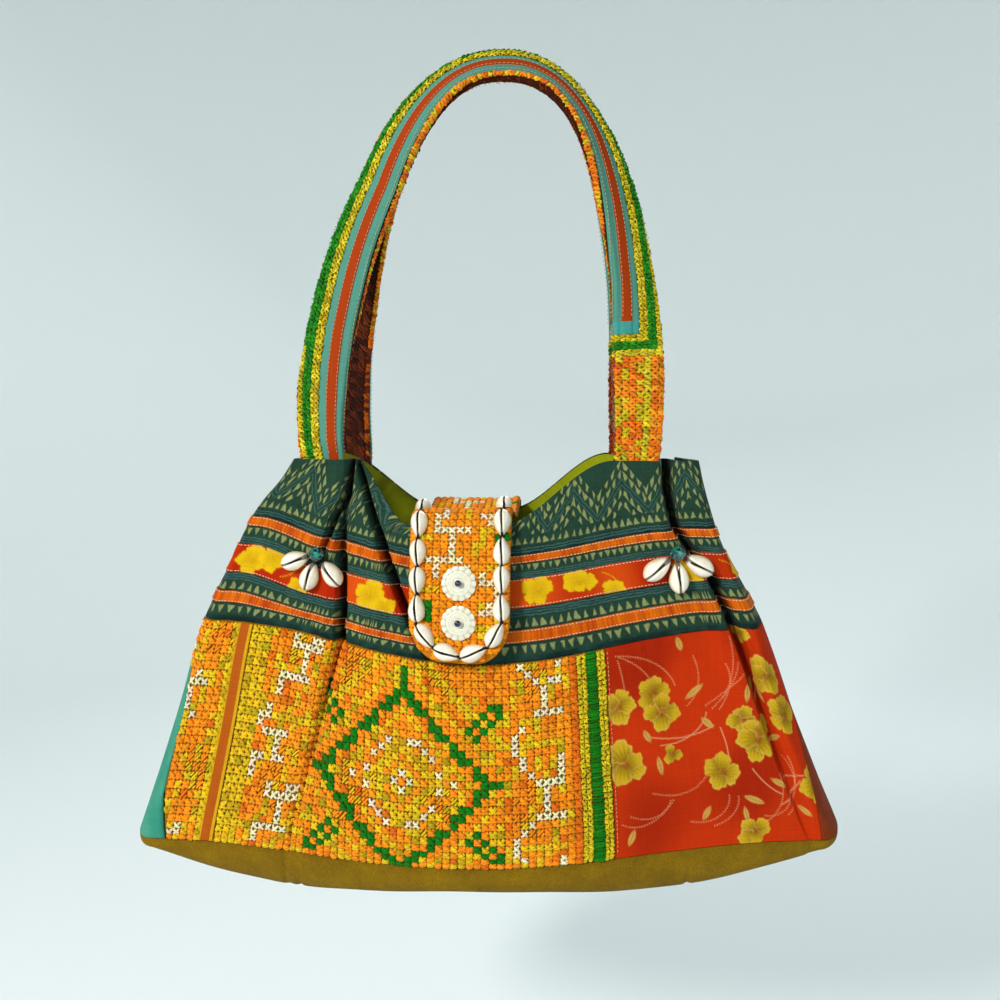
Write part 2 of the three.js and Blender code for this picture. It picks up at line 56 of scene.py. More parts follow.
def aimed(thing, place, aim):  # puts a camera or lamp in place, turned to its aim
    thing.location = place
    thing.rotation_euler = (aim - place).to_track_quat("-Z", "Y").to_euler()
    bpy.context.scene.collection.objects.link(thing)
    return thing


def addCamera(c):
    data = bpy.data.cameras.new("photoCamera")
    data.lens = c["lens"]
    data.sensor_width = c["sensor"]
    camera = bpy.data.objects.new("photoCamera", data)
    bpy.context.scene.camera = aimed(camera, Vector(c["place"]) * mm, Vector(c["aim"]) * mm)


addCamera(cameraSet)


# Small maths
def unit(v):
    return v / np.maximum(np.linalg.norm(v, axis=-1, keepdims=True), 1e-9)


def lerp(a, b, t):
    return a + (b - a) * t


def ease(x, low, high):
    t = np.clip((x - low) / (high - low), 0, 1)
    return t * t * (3 - 2 * t)


def window(x, start, full, fade, end):  # rises from start to full, and falls from fade to end
    return ease(x, start, full) * (1 - ease(x, fade, end))


def blend(a, b, share):  # lerp of colours or points, with one share for each
    return lerp(a, b, share[..., None])


def dye(code):  # linear colour of a hex code
    parts = np.array([int(code[i:i + 2], 16) for i in (0, 2, 4)]) / 255
    return np.where(parts <= 0.04045, parts / 12.92, ((parts + 0.055) / 1.055) ** 2.4)


def dyeSet(**codes):
    return {name: dye(code) for name, code in codes.items()}


def dyeRow(*codes):
    return np.array([dye(code) for code in codes])


def arcRun(line):  # length along a line of points
    return np.concatenate([[0], np.cumsum(np.linalg.norm(np.diff(line, axis=0), axis=1))])


# Mesh parts: points, quads, a place on the cloth for each corner, and a colour for each point
def gridQuads(rows, columns, loop=False):
    i = np.arange(rows - 1)[:, None]
    j = np.arange(columns if loop else columns - 1)[None, :]
    k = (j + 1) % columns
    quads = np.stack([i * columns + j, (i + 1) * columns + j, (i + 1) * columns + k, i * columns + k], -1)
    return quads.reshape(-1, 4)


def gridPart(points, place, tint=None, flip=False, loop=False):  # a loop's place has one column more
    rows, columns = points.shape[:2]
    quads = gridQuads(rows, columns, loop)
    corners = place.reshape(-1, 2)[gridQuads(rows, place.shape[1])]
    if flip:
        quads, corners = quads[:, ::-1], corners[:, ::-1]
    tint = np.ones((rows, columns, 3)) if tint is None else np.broadcast_to(tint, (rows, columns, 3))
    return {"points": points.reshape(-1, 3), "quads": quads, "place": corners, "tint": tint.reshape(-1, 3)}


def joinParts(parts):
    shifts = np.cumsum([0] + [len(part["points"]) for part in parts[:-1]])
    joined = {key: np.concatenate([part[key] for part in parts]) for key in ("points", "place", "tint")}
    joined["quads"] = np.concatenate([part["quads"] + shift for part, shift in zip(parts, shifts)])
    return joined


def edged(grid):  # a grid with its edge rows and columns doubled
    return np.pad(grid, ((1, 1), (1, 1), (0, 0)), mode="edge")


def skirted(points, facing, depth):  # a grid with its four edges turned in
    turned = np.ones((len(points) + 2, points.shape[1] + 2, 1))
    turned[1:-1, 1:-1] = 0
    return edged(points) - edged(facing) * turned * depth


def sheetPart(points, place, tint=1.0, flip=False):  # carries place and tint over the edges
    return gridPart(points, edged(place), edged(np.broadcast_to(tint, place.shape[:2] + (3,))), flip)


def arcPlace(points):  # millimetres along each row and down each column
    along = np.zeros(points.shape[:2])
    down = along.copy()
    along[:, 1:] = np.cumsum(np.linalg.norm(np.diff(points, axis=1), axis=2), axis=1)
    down[1:] = np.cumsum(np.linalg.norm(np.diff(points, axis=0), axis=2), axis=0)
    return np.stack([along, down], -1)


def yarns(starts, ends, facing, tint, width=1.6, height=1.0, lift=0.2, arch=0.6, sides=6, steps=5, bow=0.0):
    count = len(starts)
    t = np.linspace(0, 1, steps)
    swell = np.sin(np.pi * t)
    run = ends - starts
    sideways = unit(np.cross(facing, run))
    rise = lift + np.multiply.outer(np.broadcast_to(arch, (count,)), swell ** 0.7)
    bend = np.multiply.outer(np.broadcast_to(bow, (count,)), swell)
    middle = starts[:, None] + run[:, None] * t[None, :, None]
    middle = middle + facing[:, None] * rise[..., None] + sideways[:, None] * bend[..., None]
    taper = (0.74 + 0.26 * swell ** 0.5)[None, :, None]
    angle = np.arange(sides) * 2 * np.pi / sides
    half = np.broadcast_to(width, (count,))[:, None, None] / 2 * taper * np.cos(angle)
    tall = np.broadcast_to(height, (count,))[:, None, None] / 2 * taper * np.sin(angle)
    points = middle[:, :, None] + sideways[:, None, None] * half[..., None]
    points = points + facing[:, None, None] * tall[..., None]
    quads = gridQuads(steps, sides, loop=True)
    every = (quads[None] + (np.arange(count) * steps * sides)[:, None, None]).reshape(-1, 4)
    i, j = np.divmod(np.arange((steps - 1) * sides), sides)
    along = np.linalg.norm(run, axis=1)
    corner = np.stack([i, i + 1, i + 1, i], -1) / (steps - 1)
    turn = np.stack([j, j, j + 1, j + 1], -1) / sides
    place = np.stack([corner[None] * along[:, None, None], np.broadcast_to(turn, (count,) + turn.shape)], -1)
    tints = np.repeat(np.broadcast_to(tint, (count, 3)), steps * sides, axis=0)
    return {"points": points.reshape(-1, 3), "quads": every, "place": place.reshape(-1, 4, 2), "tint": tints}


def tube(line, radius, tint, sides=8):
    line = np.asarray(line, float)
    tangent = unit(np.gradient(line, axis=0))
    side = unit(np.cross(tangent, [0.31, 0.27, 0.91]))
    other = np.cross(tangent, side)
    angle = np.arange(sides) * 2 * np.pi / sides
    ring = side[:, None] * np.cos(angle)[None, :, None] + other[:, None] * np.sin(angle)[None, :, None]
    points = line[:, None] + ring * np.broadcast_to(radius, (len(line),))[:, None, None]
    quads = gridQuads(len(line), sides, loop=True)
    i, j = np.divmod(np.arange((len(line) - 1) * sides), sides)
    along = arcRun(line)
    place = np.stack([np.stack([along[i], along[i + 1], along[i + 1], along[i]], -1),
                      np.stack([j, j, j + 1, j + 1], -1) / sides], -1)
    return {"points": points.reshape(-1, 3), "quads": quads, "place": place,
            "tint": np.broadcast_to(tint, (points.shape[0] * sides, 3))}


def addPiece(name, part, material, nodes=(), smooth=True):
    mesh = bpy.data.meshes.new(name)
    count, faces = len(part["points"]), len(part["quads"])
    mesh.vertices.add(count)
    mesh.vertices.foreach_set("co", (part["points"] * mm).astype(np.float32).ravel())
    mesh.loops.add(faces * 4)
    mesh.loops.foreach_set("vertex_index", part["quads"].astype(np.int32).ravel())
    mesh.polygons.add(faces)
    mesh.polygons.foreach_set("loop_start", np.arange(faces, dtype=np.int32) * 4)
    mesh.polygons.foreach_set("use_smooth", np.full(faces, smooth))
    mesh.update(calc_edges=True)
    mesh.validate()
    layer = mesh.uv_layers.new(name="place")
    layer.uv.foreach_set("vector", part["place"].astype(np.float32).ravel())
    colours = mesh.color_attributes.new("tint", "FLOAT_COLOR", "POINT")
    full = np.concatenate([part["tint"], np.ones((count, 1))], axis=1)
    colours.data.foreach_set("color", full.astype(np.float32).ravel())
    mesh.materials.append(material)
    piece = bpy.data.objects.new(name, mesh)
    bpy.context.scene.collection.objects.link(piece)
    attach(piece, "root")
    if nodes:
        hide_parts(*nodes)
    return piece


# Shader building: a wire is a node's output, reckoned with like a number
class Wire:
    def __init__(self, tree, socket):
        self.tree, self.socket = tree, socket

    def __add__(self, other):
        return calc("ADD", self, other)

    def __sub__(self, other):
        return calc("SUBTRACT", self, other)

    def __rsub__(self, other):
        return calc("SUBTRACT", other, self)

    def __mul__(self, other):
        return calc("MULTIPLY", self, other)

    def __truediv__(self, other):
        return calc("DIVIDE", self, other)


def feed(socket, value):  # numbers and colours are set, wires are linked
    if isinstance(value, Wire):
        value.tree.links.new(value.socket, socket)
    elif isinstance(value, (int, float)):
        socket.default_value = value
    else:
        socket.default_value = (*value[:3], 1)


def addNode(tree, kind, inputs, output=0, **settings):  # inputs and output by label or number
    made = tree.nodes.new("ShaderNode" + kind)
    for name, value in settings.items():
        setattr(made, name, value)
    for label, value in inputs.items():
        feed(made.inputs[label], value)
    return Wire(tree, made.outputs[output])


def treeOf(*values):
    return next(value.tree for value in values if isinstance(value, Wire))


def calc(operation, *values):
    return addNode(treeOf(*values), "Math", dict(enumerate(values)), operation=operation)


def greatest(wires):
    return reduce(lambda first, second: calc("MAXIMUM", first, second), wires)


def soft(value, low, high):  # 0 at low, 1 at high
    return addNode(value.tree, "MapRange", {"Value": value, "From Min": low, "From Max": high}, "Result",
                   interpolation_type="SMOOTHSTEP")


def spread(value, low, high):  # 0 to 1 stretched between two numbers
    return addNode(value.tree, "MapRange", {"Value": value, "To Min": low, "To Max": high}, "Result")


def mixColour(share, first, second, how="MIX"):
    return addNode(treeOf(share, first, second), "Mix", {0: share, 6: first, 7: second}, 2,
                   data_type="RGBA", blend_type=how)


def shaded(colour, shade):
    return mixColour(1.0, colour, shade, "MULTIPLY")


def clothPlace(tree):
    place = addNode(tree, "UVMap", {}, uv_map="place")
    parts = tree.nodes.new("ShaderNodeSeparateXYZ")
    feed(parts.inputs[0], place)
    return Wire(tree, parts.outputs[0]), Wire(tree, parts.outputs[1])


def vectorOf(x, y, z=0.0):
    return addNode(treeOf(x, y, z), "CombineXYZ", {0: x, 1: y, 2: z})


def scaledPlace(tree, scale):  # the cloth's place in patches of that many millimetres
    u, v = clothPlace(tree)
    return vectorOf(u / scale, v / scale)


def noise(vector, scale, detail=3.0, roughness=0.55):
    inputs = {"Scale": scale, "Detail": detail, "Roughness": roughness, "Vector": vector}
    return addNode(vector.tree, "TexNoise", inputs, "Fac")


def tintOf(tree):
    return addNode(tree, "VertexColor", {}, "Color", layer_name="tint")


def makeGroup(name, inputs, outputs):
    group = bpy.data.node_groups.new(name, "ShaderNodeTree")
    for label, value in inputs.items():
        kind = "NodeSocketColor" if isinstance(value, tuple) else "NodeSocketFloat"
        group.interface.new_socket(name=label, in_out="INPUT", socket_type=kind).default_value = value
    for label, kind in outputs.items():
        group.interface.new_socket(name=label, in_out="OUTPUT", socket_type="NodeSocket" + kind)
    given = {socket.name: Wire(group, socket) for socket in group.nodes.new("NodeGroupInput").outputs}
    return group, given, group.nodes.new("NodeGroupOutput").inputs


def useGroup(tree, group, **values):
    made = tree.nodes.new("ShaderNodeGroup")
    made.node_tree = group
    for label, value in values.items():
        feed(made.inputs[label], value)
    return {socket.name: Wire(tree, socket) for socket in made.outputs}


def threadRound(value):  # round profile of one thread after another
    share = calc("FRACT", value)
    return share * (1.0 - share) * 4.0


surfaceOutputs = {"Height": "Float", "Shade": "Float"}


def plainWeaveGroup():
    group, given, result = makeGroup("plainWeave", {"Thread": 0.5, "Slub": 0.3}, surfaceOutputs)
    u, v = clothPlace(group)
    across, down = u / given["Thread"], v / given["Thread"]
    warp, weft = threadRound(across), threadRound(down)
    over = calc("FLOORED_MODULO", calc("FLOOR", across) + calc("FLOOR", down), 2.0)
    top = warp * over + weft * (1.0 - over)
    height = top * 0.5 + warp * weft * 0.5
    slub = noise(vectorOf(u * 0.9, v * 0.03), 1.0) + noise(vectorOf(u * 0.03, v * 0.9, 9.0), 1.0) - 1.0
    feed(result["Height"], slub * given["Slub"] + height)
    # the shade is lower where the weave lies low: painted shade, plus the slub's own tone
    feed(result["Shade"], slub * given["Slub"] + spread(height, 0.82, 1.06))
    return group


def fadedDyeGroup():
    grey = (0.5, 0.5, 0.5, 1)
    inputs = {"Main": grey, "Faded": grey, "Patch": 20.0, "Amount": 0.6}
    group, given, result = makeGroup("fadedDye", inputs, {"Color": "Color"})
    cloud = soft(noise(scaledPlace(group, given["Patch"]), 1.0, 5.0, 0.62), 0.36, 0.68)
    feed(result["Color"], mixColour(cloud * given["Amount"], given["Main"], given["Faded"]))
    return group


def twistedYarnGroup():
    group, given, result = makeGroup("twistedYarn", {"Plies": 3.0, "Lay": 2.2}, surfaceOutputs)
    along, around = clothPlace(group)
    ply = threadRound(around * given["Plies"] + along / given["Lay"])
    hair = noise(vectorOf(along * 0.8, around * 14.0), 2.0)
    feed(result["Height"], hair * 0.5 + ply)
    # darker between the plies: painted shade, times the hair's own tone
    feed(result["Shade"], spread(ply, 0.72, 1.06) * spread(hair, 0.82, 1.18))
    return group


def napGroup():
    group, given, result = makeGroup("clothNap", {"Fibre": 0.6}, surfaceOutputs)
    spot = scaledPlace(group, given["Fibre"])
    fine, fleck = noise(spot, 1.0, 4.0, 0.7), noise(spot, 0.23, 3.0, 0.65)
    feed(result["Height"], fleck * 0.6 + fine)
    feed(result["Shade"], spread(soft(fine, 0.3, 0.7), 0.72, 1.26) * spread(fleck, 0.78, 1.22))
    return group


def resistDropGroup():  # a row of wax-resist drops: Down is 0 at a drop's broad end and 1 at its tip
    inputs = {"Across": 0.0, "Down": 0.0, "Pitch": 4.4, "Width": 3.0}
    group, given, result = makeGroup("resistDrop", inputs, {"Mask": "Float"})
    down, pitch = given["Down"], given["Pitch"]
    cell = given["Across"] / pitch
    luck = addNode(group, "TexWhiteNoise", {"W": calc("FLOOR", cell)}, "Value", noise_dimensions="1D")
    lean = (luck - 0.5) * (down * 0.28)
    aside = calc("ABSOLUTE", calc("FRACT", cell) - 0.5 + lean) * pitch
    left = spread(luck, 0.86, 1.12) - down
    narrow = calc("POWER", calc("MAXIMUM", left, 0.0), 0.8)
    half = narrow * given["Width"] * spread(luck, 0.38, 0.56)
    ends = soft(down, -0.1, 0.1) * (1.0 - soft(down, 0.9, 1.05))
    feed(result["Mask"], soft(half - aside, -0.4, 0.4) * ends)
    return group


plainWeave = plainWeaveGroup()
fadedDye = fadedDyeGroup()
twistedYarn = twistedYarnGroup()
clothNap = napGroup()
resistDrop = resistDropGroup()


def newMaterial(name, roughness=0.85, sheen=0.0, coat=0.0, coatRoughness=None, specular=0.06):
    material = bpy.data.materials.new(name)
    material.use_nodes = True
    tree = material.node_tree
    tree.nodes.clear()
    shader = tree.nodes.new("ShaderNodeBsdfPrincipled")
    out = tree.nodes.new("ShaderNodeOutputMaterial")
    tree.links.new(shader.outputs[0], out.inputs[0])
    shader.inputs["Roughness"].default_value = roughness
    shader.inputs["Sheen Weight"].default_value = sheen
    shader.inputs["Sheen Roughness"].default_value = 0.5
    shader.inputs["Coat Weight"].default_value = coat
    shader.inputs["Specular IOR Level"].default_value = specular
    if coatRoughness is not None:
        shader.inputs["Coat Roughness"].default_value = coatRoughness
    return material, tree, shader


def relief(shader, height, strength, distance):
    inputs = {"Strength": strength, "Distance": distance * mm, "Height": height}
    feed(shader.inputs["Normal"], addNode(height.tree, "Bump", inputs))


def finishCloth(shader, colour, surface, strength=0.35, distance=0.16):  # surface is a weave, yarn or nap
    feed(shader.inputs["Base Color"], shaded(colour, surface["Shade"]))
    relief(shader, surface["Height"], strength, distance)


batikLook = {
    "ground": "0c2220", "faded": "1e3c34", "band": "223e2e", "wax": "868c56", "thinWax": "3c5e58",
    "rows": [  # rows of drops: broad end and tip, in mm down the yoke, pitch and width
        (26.8, 22.8, 4.2, 3.0), (40.4, 44.4, 4.1, 2.9), (75.4, 71.0, 4.4, 3.1), (85.2, 89.6, 4.7, 3.1),
    ],
    "bandHalf": 2.6, "bandBlur": 1.8, "lines": (45.9, 47.2, 48.6, 66.6, 68.0, 69.4, 29.4, 31.0),
    "lineHalf": 0.2, "lineBlur": 0.45,
    "zigzag": {"period": 31.0, "top": 1.0, "drop": 19.0, "slope": 0.62, "foot": (20.5, 22.0)},
    "zigzagLines": (-1.0, 1.0), "zigzagHalf": 0.12, "zigzagBlur": 0.38,
    "zigzagDrops": (  # broad end and tip from the zigzag, pitch and width
        (4.3, 1.7, 3.7, 2.9), (-4.5, -1.8, 3.7, 2.9), (8.2, 5.8, 4.2, 2.9), (-8.2, -5.6, 4.2, 2.9),
    ),
    "waver": 2.2,
}


def batikCotton(look):
    material, tree, shader = newMaterial("batikCotton", roughness=0.82, sheen=0.04)
    u, v = clothPlace(tree)
    spot = vectorOf(u, v)
    handU = (noise(spot, 0.16, 2.0) - 0.5) * look["waver"] + u
    handV = (noise(vectorOf(u, v, 40.0), 0.2, 2.0) - 0.5) * look["waver"] + v

    def drops(place, start, stop, pitch, width):
        down = (place - start) / (stop - start)
        return useGroup(tree, resistDrop, Across=handU, Down=down, Pitch=pitch, Width=width)["Mask"]

    def line(place, at, kind):
        half = look[kind + "Half"]
        return 1.0 - soft(calc("ABSOLUTE", place - at), half, half + look[kind + "Blur"])

    z = look["zigzag"]
    swing = calc("PINGPONG", handU / (z["period"] / 2), 1.0)
    away = (handV - (swing * z["drop"] + z["top"])) * z["slope"]
    field = 1.0 - soft(handV, *z["foot"])
    bands = [line(handV, (start + stop) / 2, "band") for start, stop, _, _ in look["rows"]]
    wax = [drops(handV, *row) for row in look["rows"]]
    wax += [drops(away, *row) * field for row in look["zigzagDrops"]]
    fine = [line(away, at, "zigzag") * field for at in look["zigzagLines"]]
    fine += [line(handV, at, "line") for at in look["lines"]]
    worn = soft(noise(spot, 0.55, 4.0, 0.7), 0.3, 0.58)
    main, faded = dye(look["ground"]), dye(look["faded"])
    ground = useGroup(tree, fadedDye, Main=main, Faded=faded, Patch=14.0, Amount=0.9)["Color"]
    striped = mixColour(greatest([*bands, field]) * spread(worn, 0.25, 0.85), ground, dye(look["band"]))
    thin = mixColour(greatest(fine) * spread(worn, 0.35, 0.8), striped, dye(look["thinWax"]))
    dyed = mixColour(greatest(wax) * spread(worn, 0.55, 1.0), thin, dye(look["wax"]))
    finishCloth(shader, shaded(dyed, tintOf(tree)), useGroup(tree, plainWeave, Thread=0.46, Slub=0.22))
    return material


def tintedCotton(name, thread=0.46, slub=0.2, roughness=0.85, strength=0.35):
    material, tree, shader = newMaterial(name, roughness=roughness)
    finishCloth(shader, tintOf(tree), useGroup(tree, plainWeave, Thread=thread, Slub=slub), strength)
    return material


def dyedCotton(name, main, faded, patch=18.0, thread=0.46):
    material, tree, shader = newMaterial(name, roughness=0.88, sheen=0.03)
    colour = useGroup(tree, fadedDye, Main=dye(main), Faded=dye(faded), Patch=patch, Amount=0.7)["Color"]
    weave = useGroup(tree, plainWeave, Thread=thread, Slub=0.2)
    finishCloth(shader, shaded(colour, tintOf(tree)), weave)
    return material


def yarnMaterial(name, plies=3.0, lay=2.2, roughness=0.75, sheen=0.05):
    material, tree, shader = newMaterial(name, roughness=roughness, sheen=sheen)
    finishCloth(shader, tintOf(tree), useGroup(tree, twistedYarn, Plies=plies, Lay=lay), 0.6, 0.18)
    return material


def feltCanvas(main, faded):
    material, tree, shader = newMaterial("oliveCanvas", roughness=0.95, sheen=0.03, specular=0.04)
    colour = useGroup(tree, fadedDye, Main=dye(main), Faded=dye(faded), Patch=30.0, Amount=0.6)["Color"]
    finishCloth(shader, colour, useGroup(tree, clothNap, Fibre=1.0), 0.8, 0.35)
    return material


def shellMaterial():
    material, tree, shader = newMaterial("cowrieShell", roughness=0.24, coat=0.5, coatRoughness=0.12,
                                         specular=0.5)
    shader.inputs["Subsurface Weight"].default_value = 0.12
    shader.inputs["Subsurface Radius"].default_value = (1.0, 0.7, 0.5)
    shader.inputs["Subsurface Scale"].default_value = 0.0015
    cloud = noise(vectorOf(*clothPlace(tree)), 0.35, 4.0)
    colour = mixColour(soft(cloud, 0.45, 0.75), (1.0, 1.0, 1.0), (0.92, 0.84, 0.7))
    feed(shader.inputs["Base Color"], shaded(tintOf(tree), colour))
    feed(shader.inputs["Roughness"], spread(cloud, 0.16, 0.34))
    return material


def carvedDiscMaterial():
    material, tree, shader = newMaterial("carvedDisc", roughness=0.35, coat=0.3, coatRoughness=0.2,
                                         specular=0.5)
    cloud = noise(vectorOf(*clothPlace(tree)), 0.5, 5.0, 0.65)
    colour = mixColour(soft(cloud, 0.4, 0.75), (1.0, 1.0, 1.0), (0.84, 0.86, 0.8))
    feed(shader.inputs["Base Color"], shaded(tintOf(tree), colour))
    relief(shader, cloud, 0.15, 0.2)
    return material


def glassMaterial(name, colour, deep):
    material, tree, shader = newMaterial(name, roughness=0.16, coat=0.5, coatRoughness=0.1, specular=0.5)
    inputs = {"Scale": 0.5, "Vector": vectorOf(*clothPlace(tree))}
    # some facet cells take the lighter glass colour: painted glints on the facets, over the glass's own deep
    # colour
    paintedGlints = soft(addNode(tree, "TexVoronoi", inputs, "Color"), 0.5, 0.95)
    feed(shader.inputs["Base Color"], mixColour(paintedGlints, dye(deep), dye(colour)))
    feed(shader.inputs["Roughness"], spread(paintedGlints, 0.1, 0.22))
    return material


print("shader groups made")

# Bag walls, as the frame has them: sections from the mouth to the base seam
faces = {front: "front", back: "back"}
sections = {
    "height": (-260, -278, -339, -400, -460),
    "shift": (8, 1, 0, 0, 0),
    "rise": (38, 17, 19, 13, 7),
    "tilt": (0, 0, 0, 3, 7),
    "backSag": (0, 4, 0, 0, 0),
    "halfWidth": (116, 133, 160, 182, 205),
    "depth": (46, 51, 58, 63, 63),
    "sideDepth": (43, 41, 39, 39, 40),
    "bulge": (12, 12, 13, 14, 17),
    "tuck": (16, 9, 2, 0, 0),
}
hemLevel, baseLevel = 2, 4
mouthSag = {  # where the mouth drops and rises
    front: (-0.69, -0.4, 0.05, 0.62), back: (-0.93, -0.34, 0.05, 0.62),
}
foldLevels = (0, 0.5, 1, 1.5, 2, 4)
leftFold = (-0.69, -0.655, -0.61, -0.55, -0.51, -0.57)  # place across (s) at the fold levels
flapFold = (-0.675, -0.535, -0.41, -0.27, -0.16, -0.1)
rightFold = (0.872, 0.86, 0.865, 0.93, 0.94, 0.97)
folds = [  # place, depth at the fold levels, and reach left and right of the crease in mm
    {"s": (-0.705, -0.658, -0.669, -0.69, -0.7, -0.7), "depth": (11, 11, 8, 0, 0, 0), "reach": (2.2, 4)},
    {"s": leftFold, "depth": (0, 2, 6, 10, 10, 1), "reach": (2.4, 5)},
    {"s": leftFold, "depth": (2, 2, 3, 3, 3, 0.5), "reach": (3, 24)},
    {"s": flapFold, "depth": (7, 10, 11, 7, 2, 0), "reach": (3.2, 4)},
    {"s": flapFold, "depth": (1, 2, 3, 3, 1, 0), "reach": (3, 16)},
    {"s": rightFold, "depth": (12, 12, 12, 12, 11, 0.6), "reach": (2.6, 6)},
    {"s": rightFold, "depth": (2, 2, 2, 3, 3, 0.4), "reach": (3, 18)},
]
wallSet = {
    "backDrop": 0.13, "backDropAcross": (0.6, 0.8),  # the back mouth edge beside the right strap
    "sink": 8, "sinkAcross": (-0.98, -0.65, -0.28, 0.05), "sinkDown": (0.7, 1.4, 1.6, 2.0),
    "lift": 4.5, "liftAcross": (0.7, 1.0), "liftDown": (0.3, 0.9, 1.0, 1.5),
    "pinch": 4.5, "pinchAcross": (0.85, 1.15), "pinchDown": (0.4, 1.8),  # the mouth's left end is drawn in
    "lip": 0.14, "lipAway": 7, "lipReach": 4.5,  # cloth pushed up beside a crease
    # how far the bottoms of the front folds are darkened, by fold depth: painted shade
    "close": 0.5, "backClose": 0.6, "foldOpen": (0.5, 3.0), "paintedShade": 0.75, "paintedShadeDepth": (3.0, 8.0),
    "waves": ((1, 17, 2.1, 1), (0.6, 29, -3.3, 0), (0.5, 9, 5, 0)),  # strength, across, down, turn by side
    "wave": 0.45, "waveDown": (0.2, 1.2, 3.2, 4), "gather": 0.25, "gatherReach": 0.09,
}
panelSeam = (0.475, 0.475, 0.405)
seamLevels = (0, hemLevel, baseLevel)
wrapEnd, clothThick, turnIn, seamGap = 1.497, 2.0, 1.6, 0.003
gussets = {
    -1: {"tip": 0.03, "reach": 0.55, "quickness": 0.35},
    1: {"tip": 0.03, "reach": 0.5, "quickness": 1.0},
}
ribbonLevels = {"upper": (1.0, 1.1), "floral": (1.267, 1.53), "lower": (1.716, 1.826)}


def column(name, level):  # a smooth line through that row of sections
    rows = np.array(sections[name], float)
    level = np.asarray(level, float)
    row = np.clip(np.floor(level).astype(int), 0, len(rows) - 2)
    t = level - row
    before, start, stop, after = (rows[np.clip(row + k, 0, len(rows) - 1)] for k in (-1, 0, 1, 2))
    slopeIn, slopeOut = (stop - before) / 2, (after - start) / 2
    bend = 2 * (start - stop) + slopeIn + slopeOut
    return ((bend * t + stop - start - slopeIn - bend) * t + slopeIn) * t + start


def hangAt(side, flat, level):  # how far the wall hangs down: between the straps at the mouth, evenly below
    drop = window(flat, *mouthSag[side])
    if side == back:
        drop = np.maximum(drop, wallSet["backDrop"] * ease(flat, *wallSet["backDropAcross"]))
    return lerp(drop, np.cos(flat * np.pi / 2) ** 2, np.clip(level, 0, 1))


def droop(s, level):  # the front ribbons sink beside the left fold, and rise at the left end
    sunk = window(s, *wallSet["sinkAcross"]) * window(level, *wallSet["sinkDown"])
    raised = ease(-s, *wallSet["liftAcross"]) * window(level, *wallSet["liftDown"])
    return wallSet["lift"] * raised - wallSet["sink"] * sunk


def smoothWall(side, s, level):
    flat = np.clip(s, -1, 1)
    turn = (np.abs(s) - np.abs(flat)) * np.pi
    crown = np.cos(flat * np.pi / 2) ** 2
    rounding = column("bulge", level) * np.sin(turn) - column("tuck", level) * np.sin(turn) ** 4
    depth = lerp(column("sideDepth", level), column("depth", level), crown) * np.cos(turn)
    x = column("shift", level) + column("halfWidth", level) * flat + np.sign(s) * rounding
    pinched = ease(-s, *wallSet["pinchAcross"]) * (1 - ease(level, *wallSet["pinchDown"]))
    z = column("height", level) + column("rise", level) * (1 - hangAt(side, flat, level))
    z = z + column("tilt", level) * flat
    z = z + (droop(s, level) if side == front else -column("backSag", level) * crown)
    return np.stack(np.broadcast_arrays(x + wallSet["pinch"] * pinched, side * depth, z), -1)


def facingOf(shape, s, level, side, step=0.01):
    along = shape(s + step, level) - shape(s - step, level)
    down = shape(s, level + step) - shape(s, level - step)
    return unit(np.cross(down, along) * -side)


def wallNormal(side, s, level):
    return facingOf(lambda a, b: smoothWall(side, a, b), s, level, side)


def seamAt(level, values=panelSeam):
    return np.interp(level, seamLevels, values)


def foldDepth(s, level):
    depth = 0
    for fold in folds:
        away = (s - np.interp(level, foldLevels, fold["s"])) * column("halfWidth", level)
        near = np.clip(np.where(away < 0, -away / fold["reach"][0], away / fold["reach"][1]), 0, 1)
        lip = wallSet["lip"] * np.exp(-((away + wallSet["lipAway"]) / wallSet["lipReach"]) ** 2)
        depth = depth + np.interp(level, foldLevels, fold["depth"]) * ((1 + np.cos(np.pi * near)) / 2 - lip)
    return depth


def closeness(side, s, level):  # ribbons lie close to the cloth, except in a fold
    if side == back:
        return wallSet["backClose"]
    return lerp(wallSet["close"], 1.0, ease(foldDepth(s, level), *wallSet["foldOpen"]))


def creaseShade(side, s, level):  # painted shade in the bottom of a fold
    if side == back:
        return 1.0
    return 1 - wallSet["paintedShade"] * ease(foldDepth(s, level), *wallSet["paintedShadeDepth"])[..., None]


def pucker(side, s, level):  # soft waves of worn cloth, and small gathers along the hem seam
    wave = sum(strength * np.sin(across * s + down * level + turn * side)
               for strength, across, down, turn in wallSet["waves"])
    gather = np.sin(96 * s + 2 * np.sin(11 * s)) * np.exp(-((level - hemLevel) / wallSet["gatherReach"]) ** 2)
    return wallSet["wave"] * wave * window(level, *wallSet["waveDown"]) + wallSet["gather"] * gather


def wallPoint(side, s, level, offset=0.0):
    s, level = np.broadcast_arrays(np.asarray(s, float), np.asarray(level, float))
    inward = foldDepth(s, level) if side == front else 0
    out = offset - inward + pucker(side, s, level)
    return smoothWall(side, s, level) + wallNormal(side, s, level) * out[..., None]


def wallFacing(side, s, level):
    return facingOf(lambda a, b: wallPoint(side, a, b), s, level, side, 0.004)


def gussetEdge(sign, level):
    share = np.maximum((level - hemLevel) / (baseLevel - hemLevel), 0)
    c = gussets[sign]
    return 1.5 - lerp(c["tip"], c["reach"], share ** c["quickness"])


def gussetSeam(sign, level):  # where the cloth beside a gusset ends
    return sign * (gussetEdge(sign, level) - seamGap)


def arcStations(side, level, start, stop, count):  # s values at even steps along the wall
    fine = np.linspace(start, stop, 1200)
    run = arcRun(wallPoint(side, fine, np.full_like(fine, level)))
    return np.interp(np.linspace(0, run[-1], count), run, fine), run[-1]


